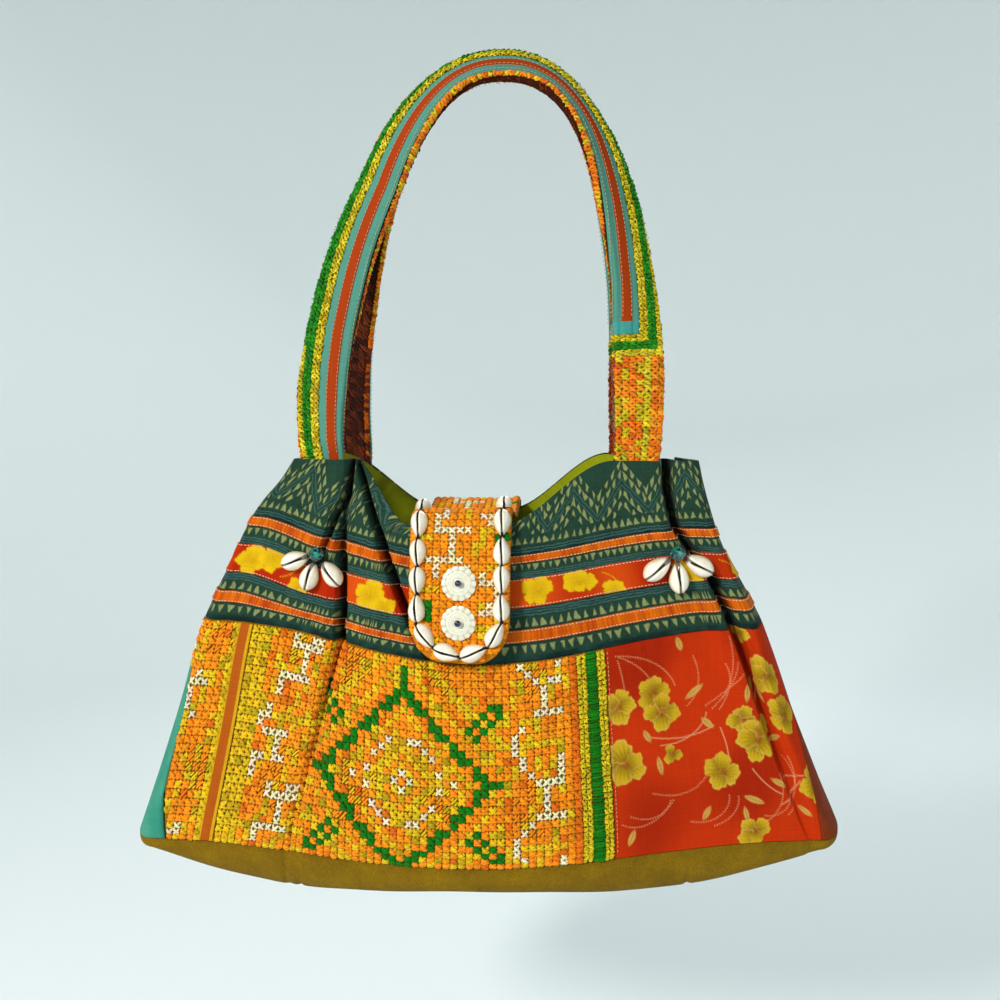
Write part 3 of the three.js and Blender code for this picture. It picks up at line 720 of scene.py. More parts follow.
def panelStations(side, left, right, rows, columns):  # s and level between two edges, from hem to base
    levels = np.linspace(hemLevel + seamGap, baseLevel - seamGap, rows)
    edges = zip(levels, left(levels), right(levels))
    s = np.array([arcStations(side, level, start, stop, columns)[0] for level, start, stop in edges])
    return s, np.broadcast_to(levels[:, None], s.shape)


def wallSheet(side, s, level, offset=0.0, skirt=turnIn):  # s and level are grids
    return skirted(wallPoint(side, s, level, offset), wallFacing(side, s, level), skirt)


def declareSheet(piece, size):
    area = sum(polygon.area for polygon in piece.data.polygons)
    size[0] * mm
    size[1] * mm
    print(f"  {piece.name}: {len(piece.data.polygons) * 2} triangles, cut {size[0]} x {size[1]} mm,"
          f" area share {area / (size[0] * size[1] * mm * mm):.2f}")


def runStitches(side, s, level, pitch, length, tint, lift=0.3):  # running stitches along a path on the wall
    s, level = np.broadcast_arrays(np.asarray(s, float), np.asarray(level, float))
    run = arcRun(wallPoint(side, s, level))
    begin = np.arange(pitch / 2, run[-1] - pitch, pitch)
    begin = begin + dice.uniform(-0.12, 0.12, len(begin)) * pitch
    sA, levelA = (np.interp(begin, run, value) for value in (s, level))
    sB, levelB = (np.interp(begin + length, run, value) for value in (s, level))
    middle = (side, (sA + sB) / 2, (levelA + levelB) / 2)
    lift = lift * closeness(*middle)
    shades = tint * dice.uniform(0.85, 1.08, (len(begin), 1))
    starts, ends = wallPoint(side, sA, levelA, lift), wallPoint(side, sB, levelB, lift)
    return yarns(starts, ends, wallFacing(*middle), shades, width=0.55, height=0.45, lift=0.0, arch=0.25,
                 sides=4, steps=3)


# Yoke with its ribbons
yokeSet = {
    "columns": {front: 560, back: 200}, "rows": {front: 74, back: 44}, "cut": (470, 100),
    "patternDown": (33, 94), "mouthStretch": 1.02,
}
ribbonSet = {
    "cloth": 0.8, "gap": 0.3, "orangeRows": 7, "orangeColumns": 480, "orangeInset": 0.1, "orangeLift": 1.25,
    "floralRows": {front: 30, back: 20}, "floralColumns": {front: 620, back: 420},
    "floralInset": (0.012, 0.014), "floralLift": 1.3, "slubs": 150, "scrolls": 9,
    "stitchPitch": 2.0, "stitchLength": 1.3,
    "orange": "aa3c04", "orangeLight": "d4680a", "edge": "e6c49c", "red": "a82404", "redLight": "c8480c",
    "blossoms": [  # place along the ribbon as a share, height as a share, radius, turn
        (0.118, 0.5, 8.5, 0.4), (0.145, 0.25, 7.0, 1.4), (0.19, 0.9, 6.0, 0.2), (0.335, 0.55, 9.5, 0.9),
        (0.36, 0.85, 7.0, 2.0), (0.52, 0.3, 9.0, 0.7), (0.6, 0.5, 8.4, 2.4), (0.655, 0.42, 8.0, 0.1),
        (0.7, 0.95, 8.0, 1.3), (0.8, 0.75, 8.0, 0.5), (0.845, 0.3, 7.0, 1.0), (0.07, 0.4, 8.0, 1.8),
        (0.93, 0.6, 8.0, 0.3),
    ],
}
ribbonPath = np.linspace(-1.48, 1.48, 2400)


def yokePlace(c, side, s, level):  # pattern place: arc along the ribbon, and height measured from the ribbon
    fine = np.linspace(-1.5, 1.5, 1500)
    run = arcRun(wallPoint(side, fine, np.full_like(fine, 1.0)))
    over = (smoothWall(side, s, np.minimum(level, 1)) - smoothWall(side, s, np.ones_like(level)))[..., 2]
    down = np.interp(level, (1, 2), c["patternDown"]) - c["mouthStretch"] * over
    return np.stack([np.interp(s, fine, run), down], -1)


def addYokes(c, material):
    made = {}
    for side, face in faces.items():
        levels = np.linspace(0, hemLevel - seamGap, c["rows"][side])
        stations, _ = arcStations(side, 1.0, -wrapEnd, wrapEnd, c["columns"][side])
        level, s = np.meshgrid(levels, stations, indexing="ij")
        part = sheetPart(wallSheet(side, s, level), yokePlace(c, side, s, level), creaseShade(side, s, level),
                         side == back)
        made[face] = addPiece(f"yoke_{face}_cloth", part, material, [f"yoke_{face}"])
    return made


def ribbonGrid(c, side, name, rows, columns, crown=0.25):
    top, bottom = ribbonLevels[name]
    s, length = arcStations(side, (top + bottom) / 2, -wrapEnd, wrapEnd, columns)
    down = np.linspace(0, 1, rows)
    level, s = np.meshgrid(lerp(top, bottom, down), s, indexing="ij")
    rise = c["gap"] + c["cloth"] + crown * (1 - (2 * down - 1) ** 4)
    points = wallSheet(side, s, level, rise[:, None] * closeness(side, s, level), c["cloth"])
    width = np.linalg.norm(points[1, columns // 2] - points[-2, columns // 2])
    place = np.stack(np.meshgrid(np.linspace(0, length, columns), down * width), -1)
    return points, place, length, width, creaseShade(side, s, level)


def edgeStitches(c, side, levels, lift):
    kind = (c["stitchPitch"], c["stitchLength"], dye(c["edge"]), lift)
    return joinParts([runStitches(side, ribbonPath, level, *kind) for level in levels])


def addOrangeRibbons(c, cloth, thread):
    slubs = dice.uniform(0, 1, c["slubs"])
    made = {"front": [], "back": []}
    for side, face in faces.items():
        for name in ("upper", "lower"):
            points, place, length, _, shade = ribbonGrid(c, side, name, c["orangeRows"], c["orangeColumns"])
            streak = np.interp(place[..., 0], np.linspace(0, length, len(slubs)), slubs)
            grain = dice.uniform(-0.35, 0.35, place.shape[1])[None, :]
            tint = blend(dye(c["orange"]), dye(c["orangeLight"]), np.clip(streak * 0.9 + grain, 0, 1)) * shade
            part = sheetPart(points, place, tint, side == back)
            node = f"ribbon_{name}_{face}"
            piece = addPiece(f"{node}_band", part, cloth, [node])
            top, bottom = ribbonLevels[name]
            inset = (bottom - top) * c["orangeInset"]
            rows = edgeStitches(c, side, (top + inset, bottom - inset), c["orangeLift"])
            made[face] += [piece, addPiece(f"{node}_stitches", rows, thread)]
    return made


# Flowered print, drawn in the cloth's own millimetres: blossoms, leaves and dotted scrolls
def paintPetal(canvas, place, root, heading, length, dyes, rim):  # a round ruffled petal, shaded to its root
    ahead = np.array([math.cos(heading), math.sin(heading)])
    d = place - np.asarray(root)
    a = d @ ahead / length
    b = (d[..., 1] * ahead[0] - d[..., 0] * ahead[1]) / length
    turn = np.arctan2(b, a - 0.5)
    ruffle = 1 + 0.08 * np.sin(5 * turn + 7 * heading) + 0.05 * np.sin(9 * turn + 3 * heading)
    far = np.hypot((a - 0.52) / 0.5, b / 0.47) / ruffle
    veins = 0.06 * np.sin(26 * np.arctan2(b, a + 0.15) + heading)
    colour = blend(dyes["heart"], dyes["olive"], ease(a + veins, 0.05, 0.3))
    colour = blend(colour, dyes["yellow"], ease(a + 2 * veins + 0.25 * b, 0.3, 0.8))
    colour = blend(colour, dyes["cream"], rim * ease(far, 0.72, 0.95))
    shadow = 0.55 * ease(far, 1.2, 1.0)
    canvas = blend(canvas, dyes["heart"], shadow * rim)
    return blend(canvas, colour, ease(far, 1.05, 0.97))


def paintBlossom(canvas, place, centre, radius, turn, petals, dyes):
    near = np.linalg.norm(place - np.array(centre), axis=-1) < radius * 1.7
    spot = place[near]
    patch = canvas[near]
    for k in dice.permutation(petals):
        heading = turn + 2 * math.pi * k / petals + dice.uniform(-0.25, 0.25)
        root = np.array(centre) + dice.normal(0, 0.08 * radius, 2)
        length = radius * dice.uniform(0.85, 1.25)
        patch = paintPetal(patch, spot, root, heading, length, dyes, dice.uniform(0.15, 0.6))
    eye = np.linalg.norm(spot - np.array(centre) - 0.08 * radius, axis=-1) / radius
    canvas[near] = blend(patch, dyes["heart"], 0.6 * ease(eye, 0.24, 0.08))
    return canvas


def paintLeaf(canvas, place, root, tip, width, colour, vein):
    root, tip = np.array(root, float), np.array(tip, float)
    axis = tip - root
    length = np.linalg.norm(axis)
    d = place - root
    along = d @ axis / length ** 2
    aside = (d[..., 0] * axis[1] - d[..., 1] * axis[0]) / length
    half = width * np.sin(np.pi * np.clip(along, 0, 1)) ** 0.8
    inside = ease(half - np.abs(aside), -0.3, 0.3) * (along > -0.05) * (along < 1.05)
    rib = ease(0.32 - np.abs(aside), 0, 0.25)
    return blend(canvas, blend(colour, vein, 0.7 * rib), 0.85 * inside)


def paintDots(canvas, place, spots, size, colour):
    for spot in spots:
        near = (np.abs(place[..., 0] - spot[0]) < 2) & (np.abs(place[..., 1] - spot[1]) < 2)
        if near.any():
            far = np.linalg.norm(place[near] - spot, axis=-1)
            canvas[near] = blend(canvas[near], colour, 0.75 * ease(size - far, -0.3, 0.2))
    return canvas


def scroll(start, heading, curl, length, gap):  # dots along a line whose curl tightens
    spots, spot = [], np.array(start, float)
    for k in range(int(length / gap)):
        spots.append(spot.copy())
        heading += curl * gap * (1 + 2.2 * k * gap / length)
        spot = spot + gap * np.array([math.cos(heading), math.sin(heading)])
    return spots


def addFloralRibbons(c, cloth, thread):
    dyes = dyeSet(yellow="d8ae10", olive="ca9e0c", cream="d8ae10", heart="bd9008")  # flat, not shaded
    for side, face in faces.items():
        points, place, length, width, shade = ribbonGrid(
            c, side, "floral", c["floralRows"][side], c["floralColumns"][side], 0.3)
        patch = np.sin(place[..., 0] * 0.11 + side) + np.sin(place[..., 0] * 0.047 + 1.3)
        canvas = blend(dye(c["red"]), dye(c["redLight"]), ease(patch, -0.8, 1.6))
        for k in range(c["scrolls"]):
            odd = k % 2
            start = (length * (0.06 + 0.105 * k), width * (0.25 + 0.5 * odd))
            dots = scroll(start, 0.4 - 0.8 * odd, 0.05 - 0.1 * odd, 26, 1.4)
            canvas = paintDots(canvas, place, dots, 0.38, dyes["cream"])
        for share, high, radius, turn in c["blossoms"]:
            canvas = paintBlossom(canvas, place, (share * length, high * width), radius, turn, 5, dyes)
        part = sheetPart(points, place, canvas * shade, side == back)
        node = f"ribbon_floral_{face}"
        piece = addPiece(f"{node}_band", part, cloth, [node])
        (top, bottom), (topInset, bottomInset) = ribbonLevels["floral"], c["floralInset"]
        rows = edgeStitches(c, side, (top + topInset, bottom - bottomInset), c["floralLift"])
        stitches = addPiece(f"{node}_stitches", rows, thread)
        declareSheet(piece, (round(length), round(width)))


paleThread = yarnMaterial("paleThread", plies=2.0, lay=1.4)
yokes = addYokes(yokeSet, batikCotton(batikLook))
orangeCloth = tintedCotton("orangeRibbon", thread=0.6, slub=0.5, roughness=0.7)
narrowRibbons = addOrangeRibbons(ribbonSet, orangeCloth, paleThread)
for face, piece in yokes.items():
    declareSheet(piece, yokeSet["cut"])
addFloralRibbons(ribbonSet, tintedCotton("floweredRibbon", thread=0.5), paleThread)
print("yoke and ribbons made")

# Cross-stitched panel
panelSet = {
    "rows": 27, "stripeColumn": 19, "seamColumn": 74, "bandColumn": 70, "stripe": (-0.8625, -0.8625, -0.818),
    "centre": (46, 15), "reach": 12, "field": (32, 60), "yarnWidth": 3.35, "yarnHeight": 1.25,
    "cut": (330, 128),
    "groundRows": 50, "groundColumns": 210, "edgeGap": 0.012, "stripeRows": 121, "stripeFree": (17.5, 19.5),
    "stripeLines": (17.55, 17.6, 18.05, 18.1, 18.7, 19.35, 19.4, 19.75, 19.8),
    "stripeEdge": "c29414", "stripeMiddle": "a8500e", "bandYellow": "d9c01c",
    "satin": (71.3, 72.8), "crosses": ((70.0, 71.3), (72.8, 73.9)),
    "yellowRings": (2, 4, 5, 9, 15, 18, 19), "yellowColumns": (17, 18, 20, 21, 22),
    "leaf": ((14, 10), (13, 10), (15, 10), (14, 9), (14, 11)),
    "strays": (("o", 0.0, 0.08, "y"), ("o", 0.93, 1.0, "d"), ("y", 0.84, 1.0, "l"), ("w", 0.93, 1.0, "y")),
}
yarnDyes = dyeSet(o="f08c12", y="deb416", l="b4960e", w="e8dcb4", g="12700c", d="dc6c0c")
hookRepeat = (  # the key hook beside the seam, w where it is white
    ".....wwww.", "....w....w", "...w.....w", "..w.......", "..w.......", "..w.......", "...w....w.",
    "...w....w.", "....w...w.", ".....wwww.", "......w...", "......w...", "......w...",
)
bracketRepeat = (  # the bracket on the other side of the diamond
    "...w..ww.", "...wwwww.", ".....w...", ".....w...", ".....w...", "..wwwww..", "..w......", "..w......",
    ".........", ".w.......", "ww.......", "w........", ".wwww....", "...w.....", "...w.....", "wwwww....",
    "w........", "w........",
)
panelRepeats = ((hookRepeat, 59, 6), (bracketRepeat, 23, 0), (bracketRepeat, 7, 6))  # first column and row


def panelChart(c):
    chart = np.full((c["rows"], c["bandColumn"]), "o")
    row, col = np.mgrid[:c["rows"], :c["bandColumn"]]
    dx, dy = np.abs(col - c["centre"][0]), np.abs(row - c["centre"][1])
    ring, arm, reach = dx + dy, dx - dy, c["reach"]
    inField = (col > c["field"][0]) & (col < c["field"][1])
    chart[np.isin(ring, c["yellowRings"]) & inField] = "y"
    chart[~inField & ((col * 2 + row) % 9 < 2)] = "y"
    chart[np.isin(col, c["yellowColumns"])] = "y"
    chart[~inField & (row % 13 == 10) & (col > max(c["yellowColumns"]))] = "y"
    white = ((ring == 7) & ((dx + 2 * dy) % 5 < 3)) | ((ring == 6) & (dx % 4 == 1)) | (ring == 1)
    chart[white & inField] = "w"
    for repeat, left, firstRow in panelRepeats:
        for i in range(c["rows"]):
            line = repeat[(i - firstRow) % len(repeat)]
            for k in (k for k, mark in enumerate(line) if mark == "w"):
                chart[i, left + k] = "w"
    green = (ring == reach) | ((ring == reach - 1) & ((dx % 3 != 0) | (dx < 2)))
    green |= (dx == 0) & (dy > reach) & (dy < reach + 3) | (dy == 0) & (dx > reach) & (dx < reach + 3)
    green |= (ring > reach + 3) & (ring < reach + 12) & ((arm == 4) | (arm == 2)) & (ring % 4 < 3)
    for i, j in c["leaf"]:
        green |= (dx == i) & (dy == j)
    chart[green & inField] = "g"
    chart[:, -2] = "o"
    chart[:, -1] = "d"
    luck = dice.random(chart.shape)
    for mark, low, high, other in c["strays"]:
        chart[(chart == mark) & (luck >= low) & (luck < high)] = other
    return chart


def panelGrid(c, columns, rows):  # s and level at column and row lines of the stitched cloth
    levels = np.linspace(hemLevel + c["edgeGap"], baseLevel - c["edgeGap"], rows)
    fine = np.linspace(-1.5, 0.6, 2200)
    grid = []
    for level in levels:
        run = arcRun(wallPoint(front, fine, np.full_like(fine, level)))
        start = np.interp(seamAt(level, c["stripe"]), fine, run)
        stop = np.interp(seamAt(level), fine, run)
        step = (stop - start) / (c["seamColumn"] - c["stripeColumn"])
        grid.append(np.interp(start + (columns - c["stripeColumn"]) * step, run, fine))
    return np.array(grid), np.broadcast_to(levels[:, None], (rows, len(columns)))


def crossStitches(corner, facing, keep, tints, width, height, slanted=None, shrink=0.08, jitter=0.2,
                  sides=5, steps=4):
    a, b = corner[:-1, :-1][keep], corner[:-1, 1:][keep]
    c, d = corner[1:, :-1][keep], corner[1:, 1:][keep]
    up = unit(facing[:-1, :-1] + facing[1:, 1:])[keep]
    width = np.broadcast_to(width, (len(a),))
    slanted = np.zeros(len(a), bool) if slanted is None else slanted
    arms = [(c, b, 0.5, 1.0, ~slanted), (a, d, 0.9, 1.0, ~slanted)]  # start, end, rise, share of width, cells
    if slanted.any():
        arms.append((c, b, 0.7, 0.55, slanted))
        arms.append(((a + c) / 2, (a + b) / 2, 0.55, 0.5, slanted))
        arms.append(((c + d) / 2, (b + d) / 2, 0.55, 0.5, slanted))
    parts = []
    for start, end, rise, share, cells in arms:
        start, end = lerp(start, end, shrink)[cells], lerp(end, start, shrink)[cells]
        many = len(start)
        start = start + dice.normal(0, jitter, (many, 3))
        end = end + dice.normal(0, jitter, (many, 3))
        shade = tints[cells] * dice.uniform(0.8, 1.1, (many, 1))
        wide = share * width[cells] * dice.uniform(0.86, 1.1, many)
        arch = rise * dice.uniform(0.8, 1.2, many)
        bow = dice.normal(0, 0.2, many)
        parts.append(yarns(start, end, up[cells], shade, width=wide, height=height, lift=0.1, arch=arch,
                           sides=sides, steps=steps, bow=bow))
    return parts


def chartStitches(c, chart, corner, facing, full):  # crosses of a chart, in the cells that are wide enough
    keep = full[:-1] & full[1:]
    marks, place = chart[keep], np.argwhere(keep)
    tints = np.array([yarnDyes[mark] for mark in marks]) * dice.uniform(0.86, 1.08, (len(marks), 3)) ** 0.8
    slim = {"w": 0.58, "y": 0.9}
    widths = c["yarnWidth"] * np.array([slim.get(mark, 1.0) for mark in marks])
    streak = np.sin(place[:, 0] * 0.37 + 1.3) + np.sin(place[:, 1] * 0.52) + dice.normal(0, 0.5, len(marks))
    slanted = (streak > 1.6) & (marks != "w") & (marks != "g")
    return joinParts(crossStitches(corner, facing, keep, tints, widths, c["yarnHeight"], slanted))


def panelStitches(c):
    chart = panelChart(c)
    s, level = panelGrid(c, np.arange(c["bandColumn"] + 1, dtype=float), c["rows"] + 1)
    cropped = np.maximum(s, 0.006 - gussetEdge(-1, level))
    corner, facing = wallPoint(front, cropped, level, 0.2), wallFacing(front, cropped, level)
    full = np.diff(cropped, axis=1) > 0.4 * np.diff(s, axis=1)
    col = np.arange(c["bandColumn"])
    full = full & ((col < c["stripeFree"][0]) | (col > c["stripeFree"][1]))
    return chartStitches(c, chart, corner, facing, full)


def seamBand(c):  # yellow, green, yellow along the seam, in small crosses and close satin
    s, level = panelGrid(c, np.array(c["satin"]), c["rows"] * 3 + 1)
    a, b = wallPoint(front, s[:, 0], level[:, 0], 0.3), wallPoint(front, s[:, 1], level[:, 1], 0.3)
    greens = yarnDyes["g"] * dice.uniform(0.6, 1.2, (len(a), 1))
    a, b = a + dice.normal(0, 0.3, a.shape), b + dice.normal(0, 0.3, b.shape)
    parts = [yarns(a, b, wallFacing(front, s[:, 0], level[:, 0]), greens, width=1.75, height=1.3, arch=0.7)]
    for left, right in c["crosses"]:
        s, level = panelGrid(c, np.array([left, (left + right) / 2, right]), int(c["rows"] * 1.6) + 1)
        corner, facing = wallPoint(front, s, level, 0.25), wallFacing(front, s, level)
        yellow = dye(c["bandYellow"]) * dice.uniform(0.7, 1.1, ((len(s) - 1) * 2, 1))
        parts += crossStitches(corner, facing, np.ones((len(s) - 1, 2), bool), yellow, 1.7, 1.1, jitter=0.26)
    return joinParts(parts)


def panelStripe(c):  # red-brown ribbon with yellow edges, down the left
    s, level = panelGrid(c, np.array(c["stripeLines"]), c["stripeRows"])
    tint = np.repeat(dyeRow(c["stripeEdge"], c["stripeMiddle"], c["stripeEdge"]), 3, axis=0)
    return sheetPart(wallSheet(front, s, level, 0.9, 0.8), arcPlace(wallPoint(front, s, level)), tint)


def addEmbroideredPanel(c, ground, yarn, ribbon):
    s, level = panelStations(front, lambda one: gussetSeam(-1, one), lambda one: seamAt(one) - 0.001,
                             c["groundRows"], c["groundColumns"])
    part = sheetPart(wallSheet(front, s, level), arcPlace(wallPoint(front, s, level)))
    cloth = addPiece("embroidered_panel_ground", part, ground, ["embroidered_panel"])
    stitches = addPiece("embroidered_panel_stitches", panelStitches(c), yarn)
    band = addPiece("embroidered_panel_band", seamBand(c), yarn)
    stripe = addPiece("embroidered_panel_stripe", panelStripe(c), ribbon)
    declareSheet(cloth, c["cut"])


stitchYarn = yarnMaterial("stitchYarn")
stitchGround = dyedCotton("stitchGround", "7c560c", "966a10", thread=0.7)
stripeRibbon = tintedCotton("stripeRibbon", thread=0.6, slub=0.4, roughness=0.6)
addEmbroideredPanel(panelSet, stitchGround, stitchYarn, stripeRibbon)
print("cross-stitched panel made")

# Flowered cotton panel
floralSet = {
    "columns": 244, "rows": 200, "cut": (150, 128), "red": "bc3006", "redDark": "9e2204",
    "seamThread": "d0a070", "levelColumn": 67,  # the column that heights on the cloth are measured down
    "blossoms": [  # place from the seam and the hem, radius, turn, petals
        (6, 36, 10.5, 0.3, 5), (27, 31, 10.0, 1.1, 5), (31, 45, 10.5, 0.2, 4), (8, 72, 12.5, 0.7, 5),
        (37, 70, 6.0, 0.2, 3), (79, 54, 8.5, 1.6, 5), (87, 66, 12.0, 0.5, 5), (66, 84, 11.5, 2.2, 5),
        (108, 28, 11.5, 0.9, 5), (116, 52, 11.0, 0.1, 5), (84, 121, 8.5, 1.2, 5), (128, 96, 10.0, 1.9, 5),
        (97, 4, 7.0, 0.4, 4),
    ],
    "leaves": [  # root, tip, width
        (46, 39, 57, 31, 1.9), (20, 53, 24, 61, 1.7), (82, 44, 83, 33, 1.7), (62, 58, 55, 51, 1.9),
        (100, 70, 110, 65, 1.7), (58, 104, 53, 112, 1.8), (78, 100, 90, 105, 1.9), (28, 70, 30, 82, 1.7),
        (8, 122, 12, 112, 1.9), (80, 116, 78, 106, 1.5), (43, 1, 45, 10, 1.9), (94, 90, 104, 96, 1.7),
        (104, 46, 99, 37, 1.5), (112, 108, 120, 114, 1.8), (96, 30, 92, 48, 1.3),
    ],
    "stems": [  # start, heading, curl, length
        (24, 58, 0.3, -0.01, 40), (30, 64, 0.1, -0.02, 36), (66, 58, 1.2, 0.01, 30),
        (84, 84, 1.0, -0.012, 24), (95, 60, -1.5, 0.004, 30), (104, 92, -0.3, 0.01, 20),
        (100, 106, -0.5, -0.01, 22),
    ],
    "scrolls": [  # as the stems, but dotted
        (6, 6, 0.15, 0.012, 46), (8, 7, 0.5, 0.014, 38), (7, 9, 1.35, 0.004, 28), (52, 14, 1.2, 0.02, 34),
        (74, 4, 1.4, 0.01, 40), (58, 44, -0.5, -0.006, 40), (62, 46, -0.7, -0.012, 34),
        (66, 47, -0.9, -0.02, 30), (24, 92, 0.4, -0.02, 44), (36, 98, 2.2, 0.02, 38),
        (46, 112, 0.3, -0.03, 34), (100, 88, 1.3, 0.024, 46), (104, 86, 1.1, 0.03, 40),
        (104, 112, -0.8, -0.02, 40), (60, 116, -0.2, -0.03, 26), (112, 78, 1.2, 0.026, 34),
        (10, 104, 0.5, -0.03, 30),
    ],
}


def addFloralPanel(c, cotton, thread):
    s, level = panelStations(front, lambda one: seamAt(one) + 0.001, lambda one: gussetSeam(1, one),
                             c["rows"], c["columns"])
    bare = wallPoint(front, s, level)
    place = arcPlace(bare)
    place[..., 1] = place[:, c["levelColumn"], 1][:, None]
    dyes = dyeSet(yellow="c29c1c", olive="987810", cream="d2ac54", heart="8a4a0c", dots="d89468")
    across, down = place[..., 0], place[..., 1]
    cloud = np.sin(across * 0.09) + np.sin(down * 0.07 + 1) + np.sin((across + down) * 0.05)
    canvas = blend(dye(c["red"]), dye(c["redDark"]), ease(cloud, -0.5, 2.4))
    for curves, gap, size in (("scrolls", 1.5, 0.38), ("stems", 0.5, 0.3)):
        for x, y, heading, curl, length in c[curves]:
            canvas = paintDots(canvas, place, scroll((x, y), heading, curl, length, gap), size, dyes["dots"])
    for x0, y0, x1, y1, width in c["leaves"]:
        canvas = paintLeaf(canvas, place, (x0, y0), (x1, y1), width, dyes["cream"] * 0.85, dyes["heart"])
    for x, y, radius, turn, petals in c["blossoms"]:
        canvas = paintBlossom(canvas, place, (x, y), radius, turn, petals, dyes)
    part = sheetPart(skirted(bare, wallFacing(front, s, level), turnIn), place, canvas)
    piece = addPiece("floral_panel_cloth", part, cotton, ["floral_panel"])
    path = np.linspace(hemLevel + 0.02, baseLevel - 0.02, 400)
    seam = runStitches(front, seamAt(path) + 0.008, path, 2.6, 1.6, dye(c["seamThread"]))
    stitches = addPiece("floral_panel_stitches", seam, thread)
    declareSheet(piece, c["cut"])


addFloralPanel(floralSet, tintedCotton("floweredCotton", thread=0.62, slub=0.3, strength=0.6), paleThread)
print("flowered panel made")

# Plain cottons: back panel, gussets, and the lining inside
plainSet = {
    "backCut": (400, 128), "backRows": 44, "backColumns": 140, "gussetCut": {-1: (124, 132), 1: (96, 128)},
    "gussetShare": {-1: 0.78, 1: 0.6}, "gussetRows": 60, "gussetColumns": 61,
}
liningSet = {
    "cut": (420, 560), "columns": 160, "upper": (0.015, 2, 30), "lower": (2.1, 3.95, 12), "last": 1.4995,
    "gap": 0.9, "draw": 5, "drawDown": (1.8, 2.5), "feet": (-0.815, 0.737), "footRoom": 3.6,
    "creaseNear": 0.06, "underSteps": 16, "underLast": 1.44, "paintedShadow": 0.68,
}


def addBackPanel(c, cotton):
    s, level = panelStations(back, lambda one: gussetSeam(-1, one), lambda one: gussetSeam(1, one),
                             c["backRows"], c["backColumns"])
    part = sheetPart(wallSheet(back, s, level), arcPlace(wallPoint(back, s, level)), flip=True)
    piece = addPiece("back_panel_cloth", part, cotton, ["back_panel"])
    declareSheet(piece, c["backCut"])


def addGusset(c, sign, name, cotton):
    rows = np.linspace(hemLevel + seamGap, baseLevel - seamGap, c["gussetRows"])
    share = np.linspace(-1, 1, c["gussetColumns"])
    edge = gussetEdge(sign, rows)[:, None]
    grid, normals = [], []
    for side, half in ((front, share[share < 0]), (back, share[share >= 0])):
        s = sign * (1.5 + (edge + seamGap - 1.5) * np.abs(half)[None, :])
        level = np.broadcast_to(rows[:, None], s.shape)
        grid.append(wallPoint(side, s, level))
        normals.append(wallNormal(side, s, level))
    points, facing = np.concatenate(grid, axis=1), np.concatenate(normals, axis=1)
    part = sheetPart(skirted(points, facing, turnIn), arcPlace(points), flip=sign < 0)
    piece = addPiece(f"{name}_cloth", part, cotton, [name])
    wide, tall = (length * mm for length in c["gussetCut"][sign])
    wide * tall * c["gussetShare"][sign]


# Base, boat-shaped, with a dart on each side of the front
baseSet = {
    "drop": 37, "endDrop": 10, "middleLift": 13, "squareness": 0.4, "gap": 0.4, "last": 1.497, "columns": 400,
    "rows": 32, "darts": (-0.53, 0.62), "dartDepth": 1.3, "dartReach": 0.008, "rub": 0.35, "skirt": 1.4,
    "cut": (440, 190),
}


def baseSection(s, inset, angle):
    c = baseSet
    seam, rear = (wallPoint(side, s, np.full_like(s, baseLevel)) for side in (front, back))
    middle = (seam[:, 1] + rear[:, 1]) / 2
    half = np.maximum((rear[:, 1] - seam[:, 1]) / 2 - inset, 0.4)
    flat = np.minimum(np.abs(s), 1)
    crown = np.cos(flat * np.pi / 2) ** 2
    drop = lerp(c["drop"], c["endDrop"], flat ** 4) - c["middleLift"] * crown ** 2 - inset
    drop = drop * np.clip(1 - ((np.abs(s) - flat) / 0.5) ** 1.3, 0.1, 1)
    sag = drop[:, None] * np.sin(angle)[None, :] ** c["squareness"]
    x = np.broadcast_to(seam[:, :1], sag.shape)
    y = middle[:, None] - half[:, None] * np.cos(angle)[None, :]
    return np.stack([x, y, seam[:, 2:3] - c["gap"] - sag], -1)


def addBase(c, canvas):
    s, _ = arcStations(front, baseLevel, -c["last"], c["last"], c["columns"])
    lean = np.linspace(-1, 1, c["rows"])
    angle = np.pi / 2 + np.sign(lean) * np.abs(lean) ** 0.62 * np.pi / 2
    angle = np.clip(angle, 0, np.pi)
    points = baseSection(s, 0.0, angle)
    facing = unit(np.cross(np.gradient(points, axis=1), np.gradient(points, axis=0)))
    dent = sum(np.exp(-((s - dart) / c["dartReach"]) ** 2) for dart in c["darts"])
    dent = dent[:, None] * (1 - ease(angle, 1.0, 1.8))[None, :] * np.sin(angle)[None, :] ** 0.3
    rub = np.sin(21 * s)[:, None] * np.sin(angle * 3)[None, :] * np.sin(angle)[None, :]
    points = points - facing * (c["dartDepth"] * dent - c["rub"] * rub)[..., None]
    part = sheetPart(skirted(points, facing, c["skirt"]), arcPlace(points), flip=True)
    piece = addPiece("base_canvas", part, canvas, ["base"])
    declareSheet(piece, c["cut"])


